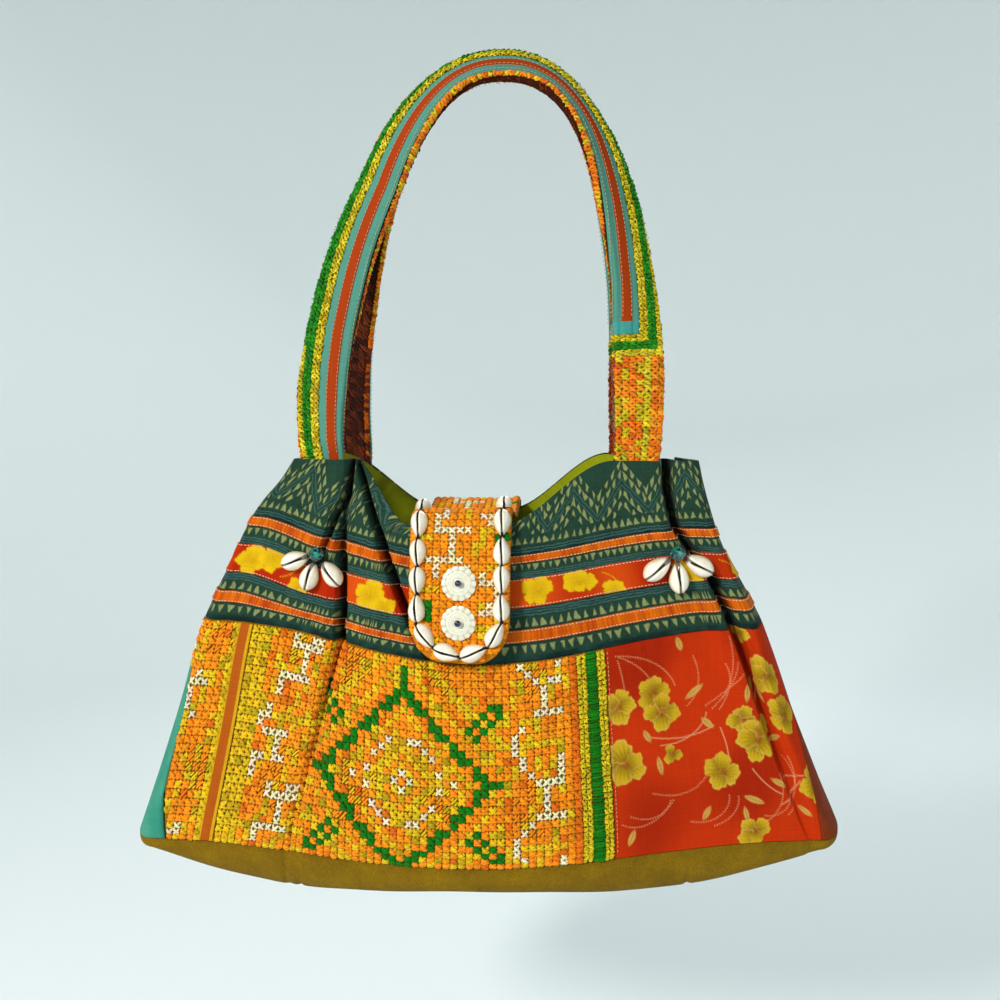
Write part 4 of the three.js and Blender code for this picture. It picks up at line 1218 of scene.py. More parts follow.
def addLining(c, cotton):
    levels = np.concatenate([np.linspace(*c["upper"]), np.linspace(*c["lower"])])
    s, _ = arcStations(front, 1.0, -c["last"], c["last"], c["columns"])
    inset = clothThick + c["gap"] + c["draw"] * ease(levels, *c["drawDown"])
    feet = sum(1 - ease(np.abs(s - place), 0.13, 0.2) for place in c["feet"])
    room = c["footRoom"] * feet[:, None] * (1 - ease(levels, 0.35, 0.8))[None, :]  # for the straps' ends
    across, down = np.broadcast_arrays(s[:, None], levels[None, :])
    steps = np.linspace(-c["creaseNear"], c["creaseNear"], 13)
    deepest = np.max([foldDepth(across + step, down) for step in steps], axis=0)
    spare = (deepest - foldDepth(across, down)) * ease(levels, 0.05, 0.3)  # keeps it behind the sharp creases
    sides = {}
    for side in faces:
        away = -inset[None, :] - room - (spare if side == front else 0)
        grid = wallPoint(side, across, down, away)
        grid[..., 1] = side * np.maximum(side * grid[..., 1], 0.03)
        sides[side] = grid
    angle = np.linspace(0, np.pi, c["underSteps"])[1:-1]
    under = baseSection(np.clip(s, -c["underLast"], c["underLast"]), inset[-1], angle)
    points = np.concatenate([sides[front], under, sides[back][:, ::-1]], axis=1)
    paintedShadow = 1 - c["paintedShadow"] * (1 - ease(across, -0.6, -0.38)) * (1 - ease(down, 1.0, 2.0))
    shade = np.ones(points.shape[:2])
    shade[:, -len(levels):] = paintedShadow[:, ::-1]  # painted shadow in the corner behind the left strap
    part = gridPart(points, arcPlace(points), shade[..., None])
    piece = addPiece("lining_cloth", part, cotton, ["lining"])
    declareSheet(piece, c["cut"])


turquoiseCotton = dyedCotton("turquoiseCotton", "328872", "4e987e", patch=26.0)
brickCotton = dyedCotton("brickCotton", "7a2c0c", "8c3a14", patch=20.0)
addBackPanel(plainSet, turquoiseCotton)
addGusset(plainSet, -1, "gusset_left", turquoiseCotton)
addGusset(plainSet, 1, "gusset_right", brickCotton)
addBase(baseSet, feltCanvas("705610", "88690f"))
addLining(liningSet, dyedCotton("limeLining", "8f9a12", "acb01e", patch=24.0))
print("plain cottons and base made")

# Padded straps
strapSet = {
    "halfSpan": 90, "shift": 3.5, "apexShift": 12, "footGap": 1.2, "thickness": 6, "endThickness": 1.4,
    "apexHeight": 9.6, "leftBow": 6, "bowTop": 0.7, "leftFoot": 4, "widthShare": 0.92, "footShare": 0.8,
    "rightRoll": 24, "rollAlong": (0.5, 0.7, 0.86, 0.96), "footSink": 3.0, "sinkReach": 0.25,
    "footStart": -2.5, "backSlide": 7.5, "slideAlong": (0.1, 0.28, 0.62, 0.8), "squareness": 2.25,
    "apexDepth": 4.9, "apexRoll": 45, "footBlend": 40, "halfFace": 13.5, "capReach": 2.0,
    "capLength": 7.5, "stationStep": 2.9, "cell": 2.9,
    "tuck": 8.0, "firstEdge": -18.5, "redEnd": 81, "tealEnd": 73, "cornerRows": (0, 4, 9, 13), "footRow": 4.6,
    "endTeal": "3f9088", "endGround": "7a5a10", "paleThread": "c4a67c", "paintedGlint": "fff6d0", "fill": 0.7,
    "turn": (  # share of the arch, and the turn there in mm
        (0, 0.09, 0.3, 0.5, 0.6, 0.7, 0.85, 1), (-5.0, -2.0, 0.8, 2.4, 3.2, 2.0, -3.2, -5.0),
    ),
}
strapZones = [  # colour, raise and width of each strip round the strap, from its inner edge over the face
    ("7a3a10", 0.0, 3.2), ("2c2010", 0.1, 1.0), ("4c8878", 0.35, 7.0), ("9e380e", 0.7, 7.4),
    ("508a7a", 0.35, 4.9), ("857414", 0.0, 5.2), ("1d5a12", 0.0, 5.4), ("857414", 0.0, 3.8),
    ("8a4a10", 0.0, 4.1), ("3c160a", 0.2, 27.0),
]
strapYarns = {
    "yellow": dyeRow("d8c220", "c4ac14", "e0cc30"), "green": dyeRow("1c7c12", "2a9018"),
    "orange": dyeRow("f08418", "e87010", "f49a20"), "brown": dyeRow("4c1c0c", "682a0e", "34160a", "78340f"),
    "bound": dyeRow("a8401a", "9a3614", "8a6a50"),
}


def strapLoop(c):
    return 4 * c["halfFace"] + 2 * c["capLength"]


def mouthHeight(side, x):
    s = np.clip((x - column("shift", 0)) / column("halfWidth", 0), -1, 1)
    return smoothWall(side, s, np.zeros_like(s))[..., 2]


def strapMiddle(c, side, angle):
    power = 2 / c["squareness"]
    foot = float(mouthHeight(front, np.array(c["shift"] + c["halfSpan"], float))) + c["footGap"]
    s = (c["shift"] + c["halfSpan"] - column("shift", 0)) / column("halfWidth", 0)
    depth = float(smoothWall(back, np.array(s), np.array(0.0))[1] - clothThick / 2)
    rise = np.maximum(np.sin(angle), 0) ** power
    reach = np.sign(np.cos(angle)) * np.abs(np.cos(angle)) ** power
    onLeft = angle > np.pi / 2
    bow = c["leftBow"] * np.sin(np.pi * np.minimum(rise / c["bowTop"], 1)) * onLeft
    x = lerp(c["shift"], c["apexShift"], rise) + c["halfSpan"] * reach - bow
    x = x - c["leftFoot"] * (1 - ease(rise, 0.05, 0.45)) * onLeft
    y = side * lerp(depth, c["apexDepth"], 1 - (1 - np.minimum(rise, 1)) ** 1.5)
    return np.stack([x, y, lerp(foot, c["apexHeight"], rise)], -1), foot


def strapFrames(c, side):
    share = np.linspace(0, 1, 1600)
    angle = np.pi * (1 - share)
    middle, foot = strapMiddle(c, side, angle)
    run = arcRun(middle)
    tangent = unit(np.gradient(middle, run, axis=0))
    outward = unit(np.cross(tangent, [0, 1, 0]))
    centre = np.array([0, 0, foot])
    outward = outward * np.sign(np.sum(outward * (middle - centre), axis=1, keepdims=True))
    roll = c["apexRoll"] * np.sin(angle) ** 2 + c["rightRoll"] * window(share, *c["rollAlong"])
    lean = -side * np.radians(roll)[:, None]
    sideways = np.array([0, side, 0])
    above = np.clip((middle[:, 2] - foot) / c["footBlend"], 0, 1)
    made = {
        "width": outward * np.cos(lean) - sideways * np.sin(lean),
        "face": sideways * np.cos(lean) + outward * np.sin(lean),
        "half": lerp(c["endThickness"], c["thickness"], np.sqrt(above)) / 2,
        "above": above,
        "turn": np.interp(share, *c["turn"]),
        "slide": c["backSlide"] * window(share, *c["slideAlong"]) * (side == back),
    }
    made = {key: np.concatenate([value[:1], value, value[-1:]]) for key, value in made.items()}
    made["half"][[0, -1]] = 0.5
    tuck = c["tuck"]
    first, last = middle[:1] - tangent[:1] * tuck, middle[-1:] + tangent[-1:] * tuck
    made["middle"] = np.concatenate([first, middle, last])
    made["run"] = np.concatenate([[-tuck], run, run[-1:] + tuck])
    return made | {"foot": foot, "length": run[-1], "side": side}


def strapPoint(c, f, run, around, lift=0.0):  # around is measured from the face's middle line, outwards
    def at(key):
        return np.interp(run, f["run"], f[key])

    def vectorAt(key):
        return np.stack([np.interp(run, f["run"], f[key][:, k]) for k in range(3)], -1)

    flat, cap = c["halfFace"], c["capLength"]
    w = (around + at("turn") + flat) % strapLoop(c)
    turnA = np.clip((w - 2 * flat) / cap, 0, 1) * np.pi
    turnB = np.clip((w - 4 * flat - cap) / cap, 0, 1) * np.pi
    zones = [w < 2 * flat, w < 2 * flat + cap, w < 4 * flat + cap]
    across = np.select(zones, [w - flat, flat + c["capReach"] * np.sin(turnA), flat - (w - 2 * flat - cap)],
                       -flat - c["capReach"] * np.sin(turnB))
    rise = np.where(zones[1], np.cos(turnA), -np.cos(turnB))
    crown = 1 - 0.12 * (across / flat) ** 2
    push = at("half") * rise * np.where(np.abs(rise) < 1, 1, crown)
    push = push + lift * np.sign(rise) * np.abs(rise) ** 0.5
    edge = across + lift * np.sign(across) * np.sqrt(np.clip(1 - rise ** 2, 0, 1))
    above = at("above")
    edge = edge * lerp(c["footShare"], c["widthShare"], above) + at("slide")
    points = vectorAt("middle") + vectorAt("width") * edge[..., None] + vectorAt("face") * push[..., None]
    points[..., 1] -= f["side"] * c["footSink"] * (1 - ease(above, 0, c["sinkReach"]))
    points[..., 2] += (1 - above) * (mouthHeight(f["side"], points[..., 0]) + c["footGap"] - f["foot"])
    return points


def strapFacing(c, f, run, around):
    along = strapPoint(c, f, run + 0.6, around) - strapPoint(c, f, run - 0.6, around)
    over = strapPoint(c, f, run, around + 0.4) - strapPoint(c, f, run, around - 0.4)
    facing = unit(np.cross(along, over))
    out = strapPoint(c, f, run, around, 0.5) - strapPoint(c, f, run, around)
    return facing * np.sign(np.sum(facing * out, axis=-1, keepdims=True))


def strapCells(c, f, left, right, columns, start, stop, length, tints, width=1.6, height=1.0, slanted=False):
    count = max(int(round((stop - start) / length)), 1)
    runs, grid = np.meshgrid(np.linspace(start, stop, count + 1), np.linspace(left, right, columns + 1),
                             indexing="ij")
    many = count * columns
    tints = tints[dice.integers(0, len(tints), many)] * dice.uniform(0.75, 1.1, (many, 1))
    return crossStitches(strapPoint(c, f, runs, grid, 0.25), strapFacing(c, f, runs, grid),
                         np.ones((count, columns), bool), tints, width, height, np.full(many, slanted),
                         shrink=0.0, jitter=0.28, sides=4, steps=3 if slanted else 4)


def strapFuzz(c, f, left, right, start, stop, count, tint, reach=1.0):  # loose fibres standing off a row
    runs, grid = dice.uniform(start, stop, count), dice.uniform(left, right, count)
    root, facing = strapPoint(c, f, runs, grid, 0.7), strapFacing(c, f, runs, grid)
    way = unit(facing + dice.normal(0, 0.8, (count, 3)))
    shade = tint * dice.uniform(0.7, 1.2, (count, 1))
    tip = root + way * dice.uniform(0.5, 1, (count, 1)) * reach
    return yarns(root, tip, unit(np.cross(way, [0.3, 0.5, 0.8])), shade, width=0.5, height=0.5, lift=0.0,
                 arch=0.3, sides=3, steps=2)


def strapBody(c, f, edges, endRed, endTeal):
    around, tint, lifts = [], [], []
    for (code, raised, _), a, b in zip(strapZones, edges[:-1], edges[1:]):
        count = 26 if b == edges[-1] else max(int((b - a) / 0.9), 3)
        inner = np.linspace(a + 0.08, b - 0.08, count)
        around += list(inner)
        tint += [dye(code)] * count
        lifts += list(raised * np.minimum(1, 4 * np.minimum(inner - a, b - inner) / 0.7))
    length, step, tuck = f["length"], c["stationStep"], c["tuck"] - 0.4
    run = np.concatenate([[-tuck], np.arange(0, endRed, step), [endRed - 0.05, endRed + 0.05],
                          np.arange(endRed + 1, endTeal, step), [endTeal - 0.05, endTeal + 0.05],
                          np.arange(endTeal + 1, length, step), [length, length + tuck]])
    runs, arounds = np.meshgrid(run, np.array(around), indexing="ij")
    lift = np.broadcast_to(np.array(lifts), runs.shape).copy()
    tints = np.broadcast_to(np.array(tint), runs.shape + (3,)).copy()
    sewn = (arounds > edges[1]) & (arounds < edges[5])
    tints[sewn & (runs > endRed) & (runs < endTeal)] = dye(c["endTeal"])
    tints[sewn & (runs > endTeal)] = dye(c["endGround"])
    lift[sewn & (runs > endTeal)] = 0
    lift[(runs < 0.5) | (runs > length - 0.5)] = 0
    place = np.stack(np.meshgrid(np.array(around + [around[0] + strapLoop(c)]), run), -1)
    return gridPart(strapPoint(c, f, runs, arounds, lift), place, tints, flip=f["side"] == back, loop=True)


def strapFaceRows(c, edges, length, endTeal):  # left, right, columns, start, stop, cell, yarns, width, height
    yellow, green, orange, bound = (strapYarns[name] for name in ("yellow", "green", "orange", "bound"))
    corner = [endTeal + row for row in c["cornerRows"]]
    begin, finish, foot, cell = c["footStart"], length - c["footStart"], corner[-1], c["cell"]
    rows = [(edges[5], edges[6], 2, begin, corner[1], cell, yellow),
            (edges[6], edges[7], 2, begin, corner[2], 2.6, green, 1.8)]
    for start, stop, colours in ((begin, 0.12 * length, yellow), (0.12 * length, 0.42 * length, green),
                                 (0.42 * length, foot, yellow)):
        rows.append((edges[7], edges[8], 1, start, stop, cell, colours, 2.0))
    rows.append((edges[8], edges[9], 1, begin, foot, cell, orange, 2.0))
    for k, colours in enumerate((yellow, green, yellow)):  # rows that turn the corner
        rows.append((edges[1], edges[6 + k], 7, corner[k], corner[k + 1], 2.4, colours, 1.9))
    mixed = np.concatenate([orange, yellow[:2]])
    for k, colours in enumerate((bound, mixed, mixed, orange, mixed, yellow, orange, orange)):
        left = edges[1] + c["footRow"] * k
        rows.append((left, edges[1] + c["footRow"] * (k + 1), 1, foot, finish, 3.4, colours, 2.5, 1.3))
    return rows


def strapReverseRows(c, edges, length, endTeal):
    orange, brown = strapYarns["orange"], strapYarns["brown"]
    begin, finish, turned = c["footStart"], length - c["footStart"], 0.13 * length
    rusty = np.concatenate([brown[:2], orange[1:2] * 0.7])
    gold = np.concatenate([orange, strapYarns["yellow"][:1]])
    return [(edges[0], edges[1], 1, begin, turned, 2.6, rusty, 2.4, 1.0, True),
            (edges[0], edges[1], 1, turned, endTeal, 2.6, gold, 2.2, 1.0),
            (edges[0], edges[1], 1, endTeal, finish, 2.6, strapYarns["bound"], 2.4, 1.0, True),
            (edges[9] + 1, edges[10] - 1, 5, begin, finish, 4.4, brown, 3.0, 0.9, True)]


def strapFuzzRows(c, edges, length, endTeal):  # left, right, start, stop, count, yarn, reach
    green, yellow, orange = strapYarns["green"], strapYarns["yellow"], strapYarns["orange"]
    return [(edges[6], edges[7] + 2, 2, endTeal, 900, green[0], 1.3),
            (edges[5], edges[6], 2, endTeal, 500, yellow[0]),
            # near-white fibres on the yellow and green rows, standing for their sparkle: painted glints
            (edges[5], edges[8], 2, endTeal, 70, dye(c["paintedGlint"]), 0.8),
            (edges[0], edges[1], 2, length - 2, 500, orange[1], 1.1),
            (edges[1], edges[9], endTeal + c["cornerRows"][-1], length - 2, 300, orange[0])]


def strapRunning(c, f, edges, endRed):
    parts = []
    for line in (edges[3] + 0.7, edges[4] - 0.7, edges[2] + 1.5):
        begin = np.arange(2, endRed - 3, 2.6)
        around = np.full_like(begin, line)
        a, b = (strapPoint(c, f, begin + more, around, 0.8) for more in (0, 1.6))
        facing = strapFacing(c, f, begin, around)
        parts.append(yarns(a, b, facing, dye(c["paleThread"]), width=0.5, height=0.4, lift=0.0, arch=0.2,
                           sides=4, steps=3))
    return joinParts(parts)


def addStrap(c, side, name, cloth, yarn, thread):
    f = strapFrames(c, side)
    length = f["length"]
    edges = [float(edge) for edge in np.cumsum([c["firstEdge"]] + [zone[2] for zone in strapZones])]
    endRed, endTeal = length - c["redEnd"], length - c["tealEnd"]  # the strips stop short of the right foot
    strap = addPiece(f"{name}_strap", strapBody(c, f, edges, endRed, endTeal), cloth, [name])
    rows = strapFaceRows(c, edges, length, endTeal)
    parts = [part for row in rows for part in strapCells(c, f, *row)]
    addPiece(f"{name}_stitches", joinParts(parts), yarn)
    rows = strapReverseRows(c, edges, length, endTeal)
    parts = [part for row in rows for part in strapCells(c, f, *row)]
    parts += [strapFuzz(c, f, *row) for row in strapFuzzRows(c, edges, length, endTeal)]
    addPiece(f"{name}_reverse", joinParts(parts), yarn)
    addPiece(f"{name}_running_stitch", strapRunning(c, f, edges, endRed), thread)


strapCloth = tintedCotton("strapCloth", thread=0.5, slub=0.3)
for side, face in faces.items():
    addStrap(strapSet, side, f"handle_{face}", strapCloth, stitchYarn, paleThread)
print("straps made")

# Flap
flapSet = {
    "yarnWidth": 3.25, "yarnHeight": 1.2, "middle": -7, "width": 58, "thickness": 3, "endShare": 0.36,
    "endRound": 24, "backLevel": 0.9, "tipLevel": 1.97, "lift": 2.5, "tipLift": 6.5, "crest": 6.5,
    "backCrest": 4.4, "seam": 0.3, "columns": 13, "cellLength": 4.3, "stitchLimit": 0.985, "cut": (58, 225),
    "across": 23, "straightRows": 90, "roundRows": 28, "roundFrom": 0.9,
}
flapChart = (  # from the mouth down to the tip
    "oooowooyooooo", "ooowwooyowwoo", "ooowoooooowoo", "ooowwwwwoyyoo", "oyyoowoooyogg", "ooooowooyyogo",
    "oyooowooyoooo", "oowwwwwooooyo", "ooowooowooyyo", "ooowooooowoyo", "ooooooooowwoo", "oyyyooooooowo",
    "ooooooooooowo", "oggooooooywoo", "oggoooooowwoo", "oggooooooooyo", "ooooooooyyyoo", "oooooooooyyoo",
    "ooyyooooooooo", "oooyooooooooo", "ooooooooooooo",
)


def centripetal(points, count):  # smooth lines through points (line, point, 3), at even steps of length
    ahead, behind = 2 * points[:, :1] - points[:, 1:2], 2 * points[:, -1:] - points[:, -2:-1]
    points = np.concatenate([ahead, points, behind], axis=1)
    gap = np.sqrt(np.linalg.norm(np.diff(points, axis=1), axis=2))[..., None]
    fine = []
    for k in range(1, points.shape[1] - 2):
        p0, p1, p2, p3 = (points[:, k + j] for j in (-1, 0, 1, 2))
        d0, d1, d2 = gap[:, k - 1], gap[:, k], gap[:, k + 1]
        t1 = ((p1 - p0) / d0 - (p2 - p0) / (d0 + d1) + (p2 - p1) / d1) * d1
        t2 = ((p2 - p1) / d1 - (p3 - p1) / (d1 + d2) + (p3 - p2) / d2) * d1
        square, cube = -3 * p1 + 3 * p2 - 2 * t1 - t2, 2 * p1 - 2 * p2 + t1 + t2
        fine += [p1 + t1 * t + square * t ** 2 + cube * t ** 3 for t in np.linspace(0, 1, 40, endpoint=False)]
    fine.append(points[:, -2])
    lines = []
    for line in np.stack(fine, axis=1):
        run = arcRun(line)
        at = np.linspace(0, run[-1], count)
        lines.append(np.stack([np.interp(at, run, line[:, k]) for k in range(3)], -1))
    return np.stack(lines)


def flapLines(c, x, count):
    def onWall(side, level, offset):
        s = (x - column("shift", level)) / column("halfWidth", level)
        levels = np.full_like(x, level)
        points = smoothWall(side, s, levels) + wallNormal(side, s, levels) * offset
        points[:, 2] -= droop(s, levels) if side == front else 0
        return points

    def over(depth, height):
        return np.stack([x, np.full_like(x, depth), height], -1)

    sewn = 2 * c["seam"] + c["thickness"] / 2
    s0 = (x - column("shift", 0)) / column("halfWidth", 0)
    edgeBack, edgeFront = (smoothWall(side, s0, np.zeros_like(x))[:, 2] for side in (back, front))
    depth = column("depth", 0) - clothThick / 2
    rows = [onWall(back, c["backLevel"], sewn), onWall(back, 0.5, sewn), onWall(back, 0.05, sewn + 0.4),
            over(depth, edgeBack + c["backCrest"]), over(0, edgeBack - 1),
            over(-depth, edgeFront + c["crest"])]
    for level in (0.18, 0.7, 1.3, c["tipLevel"]):
        rows.append(onWall(front, level, sewn + lerp(c["lift"], c["tipLift"], level / c["tipLevel"])))
    points = np.stack(rows, axis=1)
    points[..., 0] = x[:, None]
    return centripetal(points, count)


def flapSurface(c):  # looks up points of the flap's middle surface at across -1 to 1 and share 0 to 1
    lineCount, stepCount = 61, 501
    xs = c["middle"] + np.linspace(-1.06, 1.06, lineCount) * c["width"] / 2
    lines = flapLines(c, xs, stepCount)
    length = arcRun(lines[lineCount // 2])[-1]

    def halfWidth(share):
        fromTip = np.clip((1 - share) * length / c["endRound"], 0, 1)
        return c["width"] / 2 * lerp(c["endShare"], 1, np.sqrt(1 - (1 - fromTip) ** 2))

    def at(across, share):
        across, share = np.broadcast_arrays(np.asarray(across, float), np.asarray(share, float))
        x = c["middle"] + across * halfWidth(share)
        i = np.clip((x - xs[0]) / (xs[1] - xs[0]), 0, lineCount - 1.001)
        j = np.clip(share * (stepCount - 1), 0, stepCount - 1.001)
        i0, j0 = i.astype(int), j.astype(int)
        upper, lower = (blend(lines[i0, k], lines[i0 + 1, k], i - i0) for k in (j0, j0 + 1))
        return blend(upper, lower, j - j0)

    def facing(across, share):
        share = np.clip(share, 0.008, 0.992)
        along = at(across, share + 0.006) - at(across, share - 0.006)
        over = at(across + 0.03, share) - at(across - 0.03, share)
        return unit(np.cross(along, over))
    return at, facing, halfWidth, length


def flapGround(c, at, facing):
    start = c["roundFrom"]
    roundEnd = 1 - (1 - start) * (1 - np.linspace(0, 1, c["roundRows"])[1:]) ** 1.7
    share = np.concatenate([np.linspace(0, start, c["straightRows"]), roundEnd])
    acrosses, shares = np.meshgrid(np.linspace(-1, 1, c["across"]), share)
    middle, away = at(acrosses, shares), facing(acrosses, shares)
    half = away * (c["thickness"] / 2 * (1 - 0.35 * np.abs(acrosses) ** 8))[..., None]
    loop = np.concatenate([middle + half, (middle - half)[:, ::-1]], axis=1)
    part = gridPart(loop, arcPlace(np.concatenate([loop, loop[:, :1]], axis=1)), flip=True, loop=True)
    around, last = loop.shape[1], len(share) - 1
    j = np.arange(c["across"] - 1)
    end = np.stack([j, j + 1, around - 2 - j, around - 1 - j], -1)
    part["quads"] = np.concatenate([part["quads"], end, (end + last * around)[:, ::-1]])
    part["place"] = np.concatenate([part["place"], np.zeros((2 * len(j), 4, 2))])
    return part


def addFlap(c, ground, yarn):
    at, facing, halfWidth, length = flapSurface(c)
    cloth = addPiece("flap_ground", flapGround(c, at, facing), ground, ["flap"])
    rows, limit = int(length / c["cellLength"]), c["stitchLimit"]
    columns = np.linspace(-limit, limit, c["columns"] + 1) * c["width"] / 2
    shares = np.broadcast_to(np.linspace(0.012, 0.994, rows + 1)[:, None], (rows + 1, c["columns"] + 1))
    acrosses = columns[None, :] / halfWidth(shares)
    cropped = np.clip(acrosses, -limit, limit)
    away = facing(cropped, shares)
    corner = at(cropped, shares) + away * (c["thickness"] / 2 + 0.1)
    full = np.diff(cropped, axis=1) > 0.4 * np.diff(acrosses, axis=1)
    chart = np.array([list(flapChart[(k - rows) % len(flapChart)]) for k in range(rows)])
    stitches = addPiece("flap_stitches", chartStitches(c, chart, corner, away, full), yarn)
    declareSheet(cloth, c["cut"])


addFlap(flapSet, dyedCotton("flapGround", "b06a10", "c67a14", thread=0.7), stitchYarn)
print("flap made")

# Cowries, placed on the frame's own shells
cowrieSet = {
    "length": 15.5, "width": 10.4, "height": 7.0, "rows": 34, "columns": 38, "slit": 1.5, "teeth": 11,
    "ivory": "f6efdf", "warm": "e8d8b4", "dark": "4a3420", "thread": "120d0a", "clusterGape": 0.8,
    "clusterSize": {"left": (1.15, 1.06), "right": (1.24, 1.1)},  # share of length and width
    "threadStops": ((-0.54, 0.2), (-0.42, 0.45), (-0.25, 0.71), (0.0, 0.83), (0.25, 0.71), (0.42, 0.45),
                    (0.54, 0.2)),  # place along the shell and height over it, as shares
}


def nodeFrame(name):  # points, middle and axes of the frame's node, and its points along those axes
    points = np.array([v.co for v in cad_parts[name].data.vertices]) / mm
    points = np.unique(points.round(4), axis=0)
    middle = (points.max(0) + points.min(0)) / 2
    axes = np.linalg.svd(points - points.mean(0), full_matrices=False)[2]
    local = (points - middle) @ axes.T
    middle = middle + ((local.max(0) + local.min(0)) / 2) @ axes
    return points, middle, axes, (points - middle) @ axes.T


def shellFrame(name):  # middle of the shell's foot, and axes along, across and out
    points, middle, (along, _, out), local = nodeFrame(name)
    if local[:, 2].mean() > 0:
        out = -out
    wide = np.abs(local[:, 1])
    if wide[local[:, 0] > 0].mean() > wide[local[:, 0] < 0].mean():
        along = -along
    height = (points - middle) @ out
    return middle + out * height.min(), along, np.cross(out, along), out


def cowriePart(c, gape=0.0):  # gape opens the slit towards the narrow end
    t = np.sin(np.linspace(-1, 1, c["rows"]) * np.pi / 2)
    k = np.linspace(-1, 1, c["columns"])
    w = np.sin(np.sign(k) * np.abs(k) ** 1.5 * np.pi / 2)
    t, w = np.meshgrid(t, w, indexing="ij")
    girth = np.sqrt(np.clip(1 - t ** 2, 0, 1))
    half = c["width"] / 2 * girth ** 1.3 * (1 - 0.27 * t)
    x = t * c["length"] / 2
    y = half * w
    z = c["height"] * girth ** 0.75 * (1 - w ** 2) ** 0.5
    gap = np.abs(y - 0.35 * np.sin(t * 2.2))
    opening = 0.45 + 0.35 * np.abs(t) ** 3 + gape * ease(t, -0.2, 0.9)
    slit = np.exp(-(gap / (opening + 0.25)) ** 2)
    lip = np.exp(-((gap - 1.25) / 0.8) ** 2) * (1 - t ** 4)
    teeth = np.cos(t * np.pi * c["teeth"]) * np.exp(-((gap - 0.9) / 0.55) ** 2)
    z = np.maximum(z - c["slit"] * slit * girth + 0.35 * lip + 0.14 * teeth * girth, 0)
    tint = blend(dye(c["ivory"]), dye(c["warm"]), ease(np.abs(w), 0.75, 1.0))
    # darker where the slit groove is deep: painted shade in the slit
    tint = blend(tint, dye(c["dark"]), 0.9 * ease(slit, 0.35, 0.8))
    return np.stack([x, y, z], -1), np.stack([x, y], -1), tint


def addShells(c, shell):
    flapKind, clusterKind = cowriePart(c), cowriePart(c, c["clusterGape"])
    names = sorted(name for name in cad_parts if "cowrie" in name)
    for name in names:
        middle, along, across, out = shellFrame(name)
        long, wide = dice.uniform(1.03, 1.08), dice.uniform(0.92, 0.98)
        points, place, tint = flapKind
        if name.startswith("cluster"):
            long, wide = c["clusterSize"][name.split("_")[1]]
            points, place, tint = clusterKind
        placed = middle + points[..., :1] * along * long + points[..., 1:2] * across * wide
        placed = placed + points[..., 2:] * out
        part = gridPart(placed, place + dice.uniform(0, 90, 2), tint * dice.uniform(0.94, 1.0), flip=True)
        addPiece(f"{name}_shell", part, shell, [name])
    return names


def threadPath(c, name):
    middle, along, across, out = shellFrame(name)
    share, high = np.array(c["threadStops"]).T
    sway = 0.35 * np.sin(share * 4.4) + dice.normal(0, 0.28, len(share))
    path = middle + np.outer(share * c["length"], along) + np.outer(sway, across)
    return path + np.outer(high * c["height"], out)


def addShellThreads(c, names, thread):
    black = dye(c["thread"])
    flapNames = [name for name in names if name.startswith("flap")]
    path = np.concatenate([threadPath(c, name) for name in flapNames])
    line = centripetal(path[None], 700)[0]
    line = line + dice.normal(0, 0.06, line.shape)
    knots = np.cos(np.linspace(0, 2 * np.pi * len(flapNames), len(line))) ** 9
    bulge = 0.58 + 0.4 * np.clip(knots, 0, 1) + dice.uniform(0, 0.14, len(line))
    addPiece("flap_shell_thread", tube(line, bulge, black), thread)
    for group in ("left", "right"):
        paths = [threadPath(c, name) for name in names if name.startswith(f"cluster_{group}")]
        parts = [tube(centripetal(path[None], 40)[0], np.linspace(0.35, 0.8, 40), black) for path in paths]
        addPiece(f"cluster_{group}_thread", joinParts(parts), thread)


# Carved discs and glass beads
discSet = {
    "radius": 10.0, "thickness": 2.4, "scallops": 14, "rings": 38, "spokes": 112, "pale": "dcd8c4",
    "shade": "b0ae9c", "grooveReach": 0.022,
    "grooves": ((0.3, 0.18), (0.52, 0.14), (0.74, 0.2)),  # share of the radius, depth
}


def addDisc(c, name, material):
    points, middle, axes, _ = nodeFrame(name)
    out = axes[2] if axes[2][1] < 0 else -axes[2]
    across = unit(np.array([1.0, 0, 0]) - out * out[0])
    up = np.cross(out, across)
    foot = middle + out * ((points - middle) @ out).min()
    r = np.concatenate([np.linspace(0.0, 1, c["rings"]), [1.0, 0.93]])
    angle = np.linspace(0, 2 * np.pi, c["spokes"] + 1)
    r, angle = np.meshgrid(r, angle, indexing="ij")
    lobes = np.abs(np.cos(angle * c["scallops"] / 2)) - 1
    radius = c["radius"] * r * lerp(1, 1 + 0.045 * lobes, r ** 3)
    groove = 0.22 * lobes * ease(r, 0.5, 0.9)
    for at, deep in c["grooves"]:
        wander = at + 0.02 * np.sin(5 * angle + 9 * at)
        groove = groove - deep * np.exp(-((r - wander) / c["grooveReach"]) ** 2)
    z = c["thickness"] * (1 - 0.3 * r ** 4) + groove - 0.8 * np.exp(-(r / 0.12) ** 2)
    z[-2] = c["thickness"] * 0.5
    z[-1] = 0
    place = np.stack([radius * np.cos(angle), radius * np.sin(angle)], -1)
    placed = foot + across * place[..., :1] + up * place[..., 1:] + out * z[..., None]
    # darker down the carved grooves and between the scallops: painted shade
    tint = blend(dye(c["pale"]), dye(c["shade"]), ease(-groove, 0.03, 0.25))
    addPiece(f"{name}_carved", gridPart(placed, place, tint, flip=True), material, [name])


beadSet = {  # axes puts the hole along the third
    "disc": {"radius": 1.9, "rings": 13, "sides": 20, "slot": "blue_glass", "smooth": True,
             "axes": (0, 2, 1), "squash": 0.8},
    "cluster": {"radius": 4.8, "rings": 9, "sides": 12, "slot": "teal_glass", "smooth": False,
                "axes": (0, 1, 2), "squash": 0.9},
    "hole": 0.18, "holeDepth": 0.35,
}


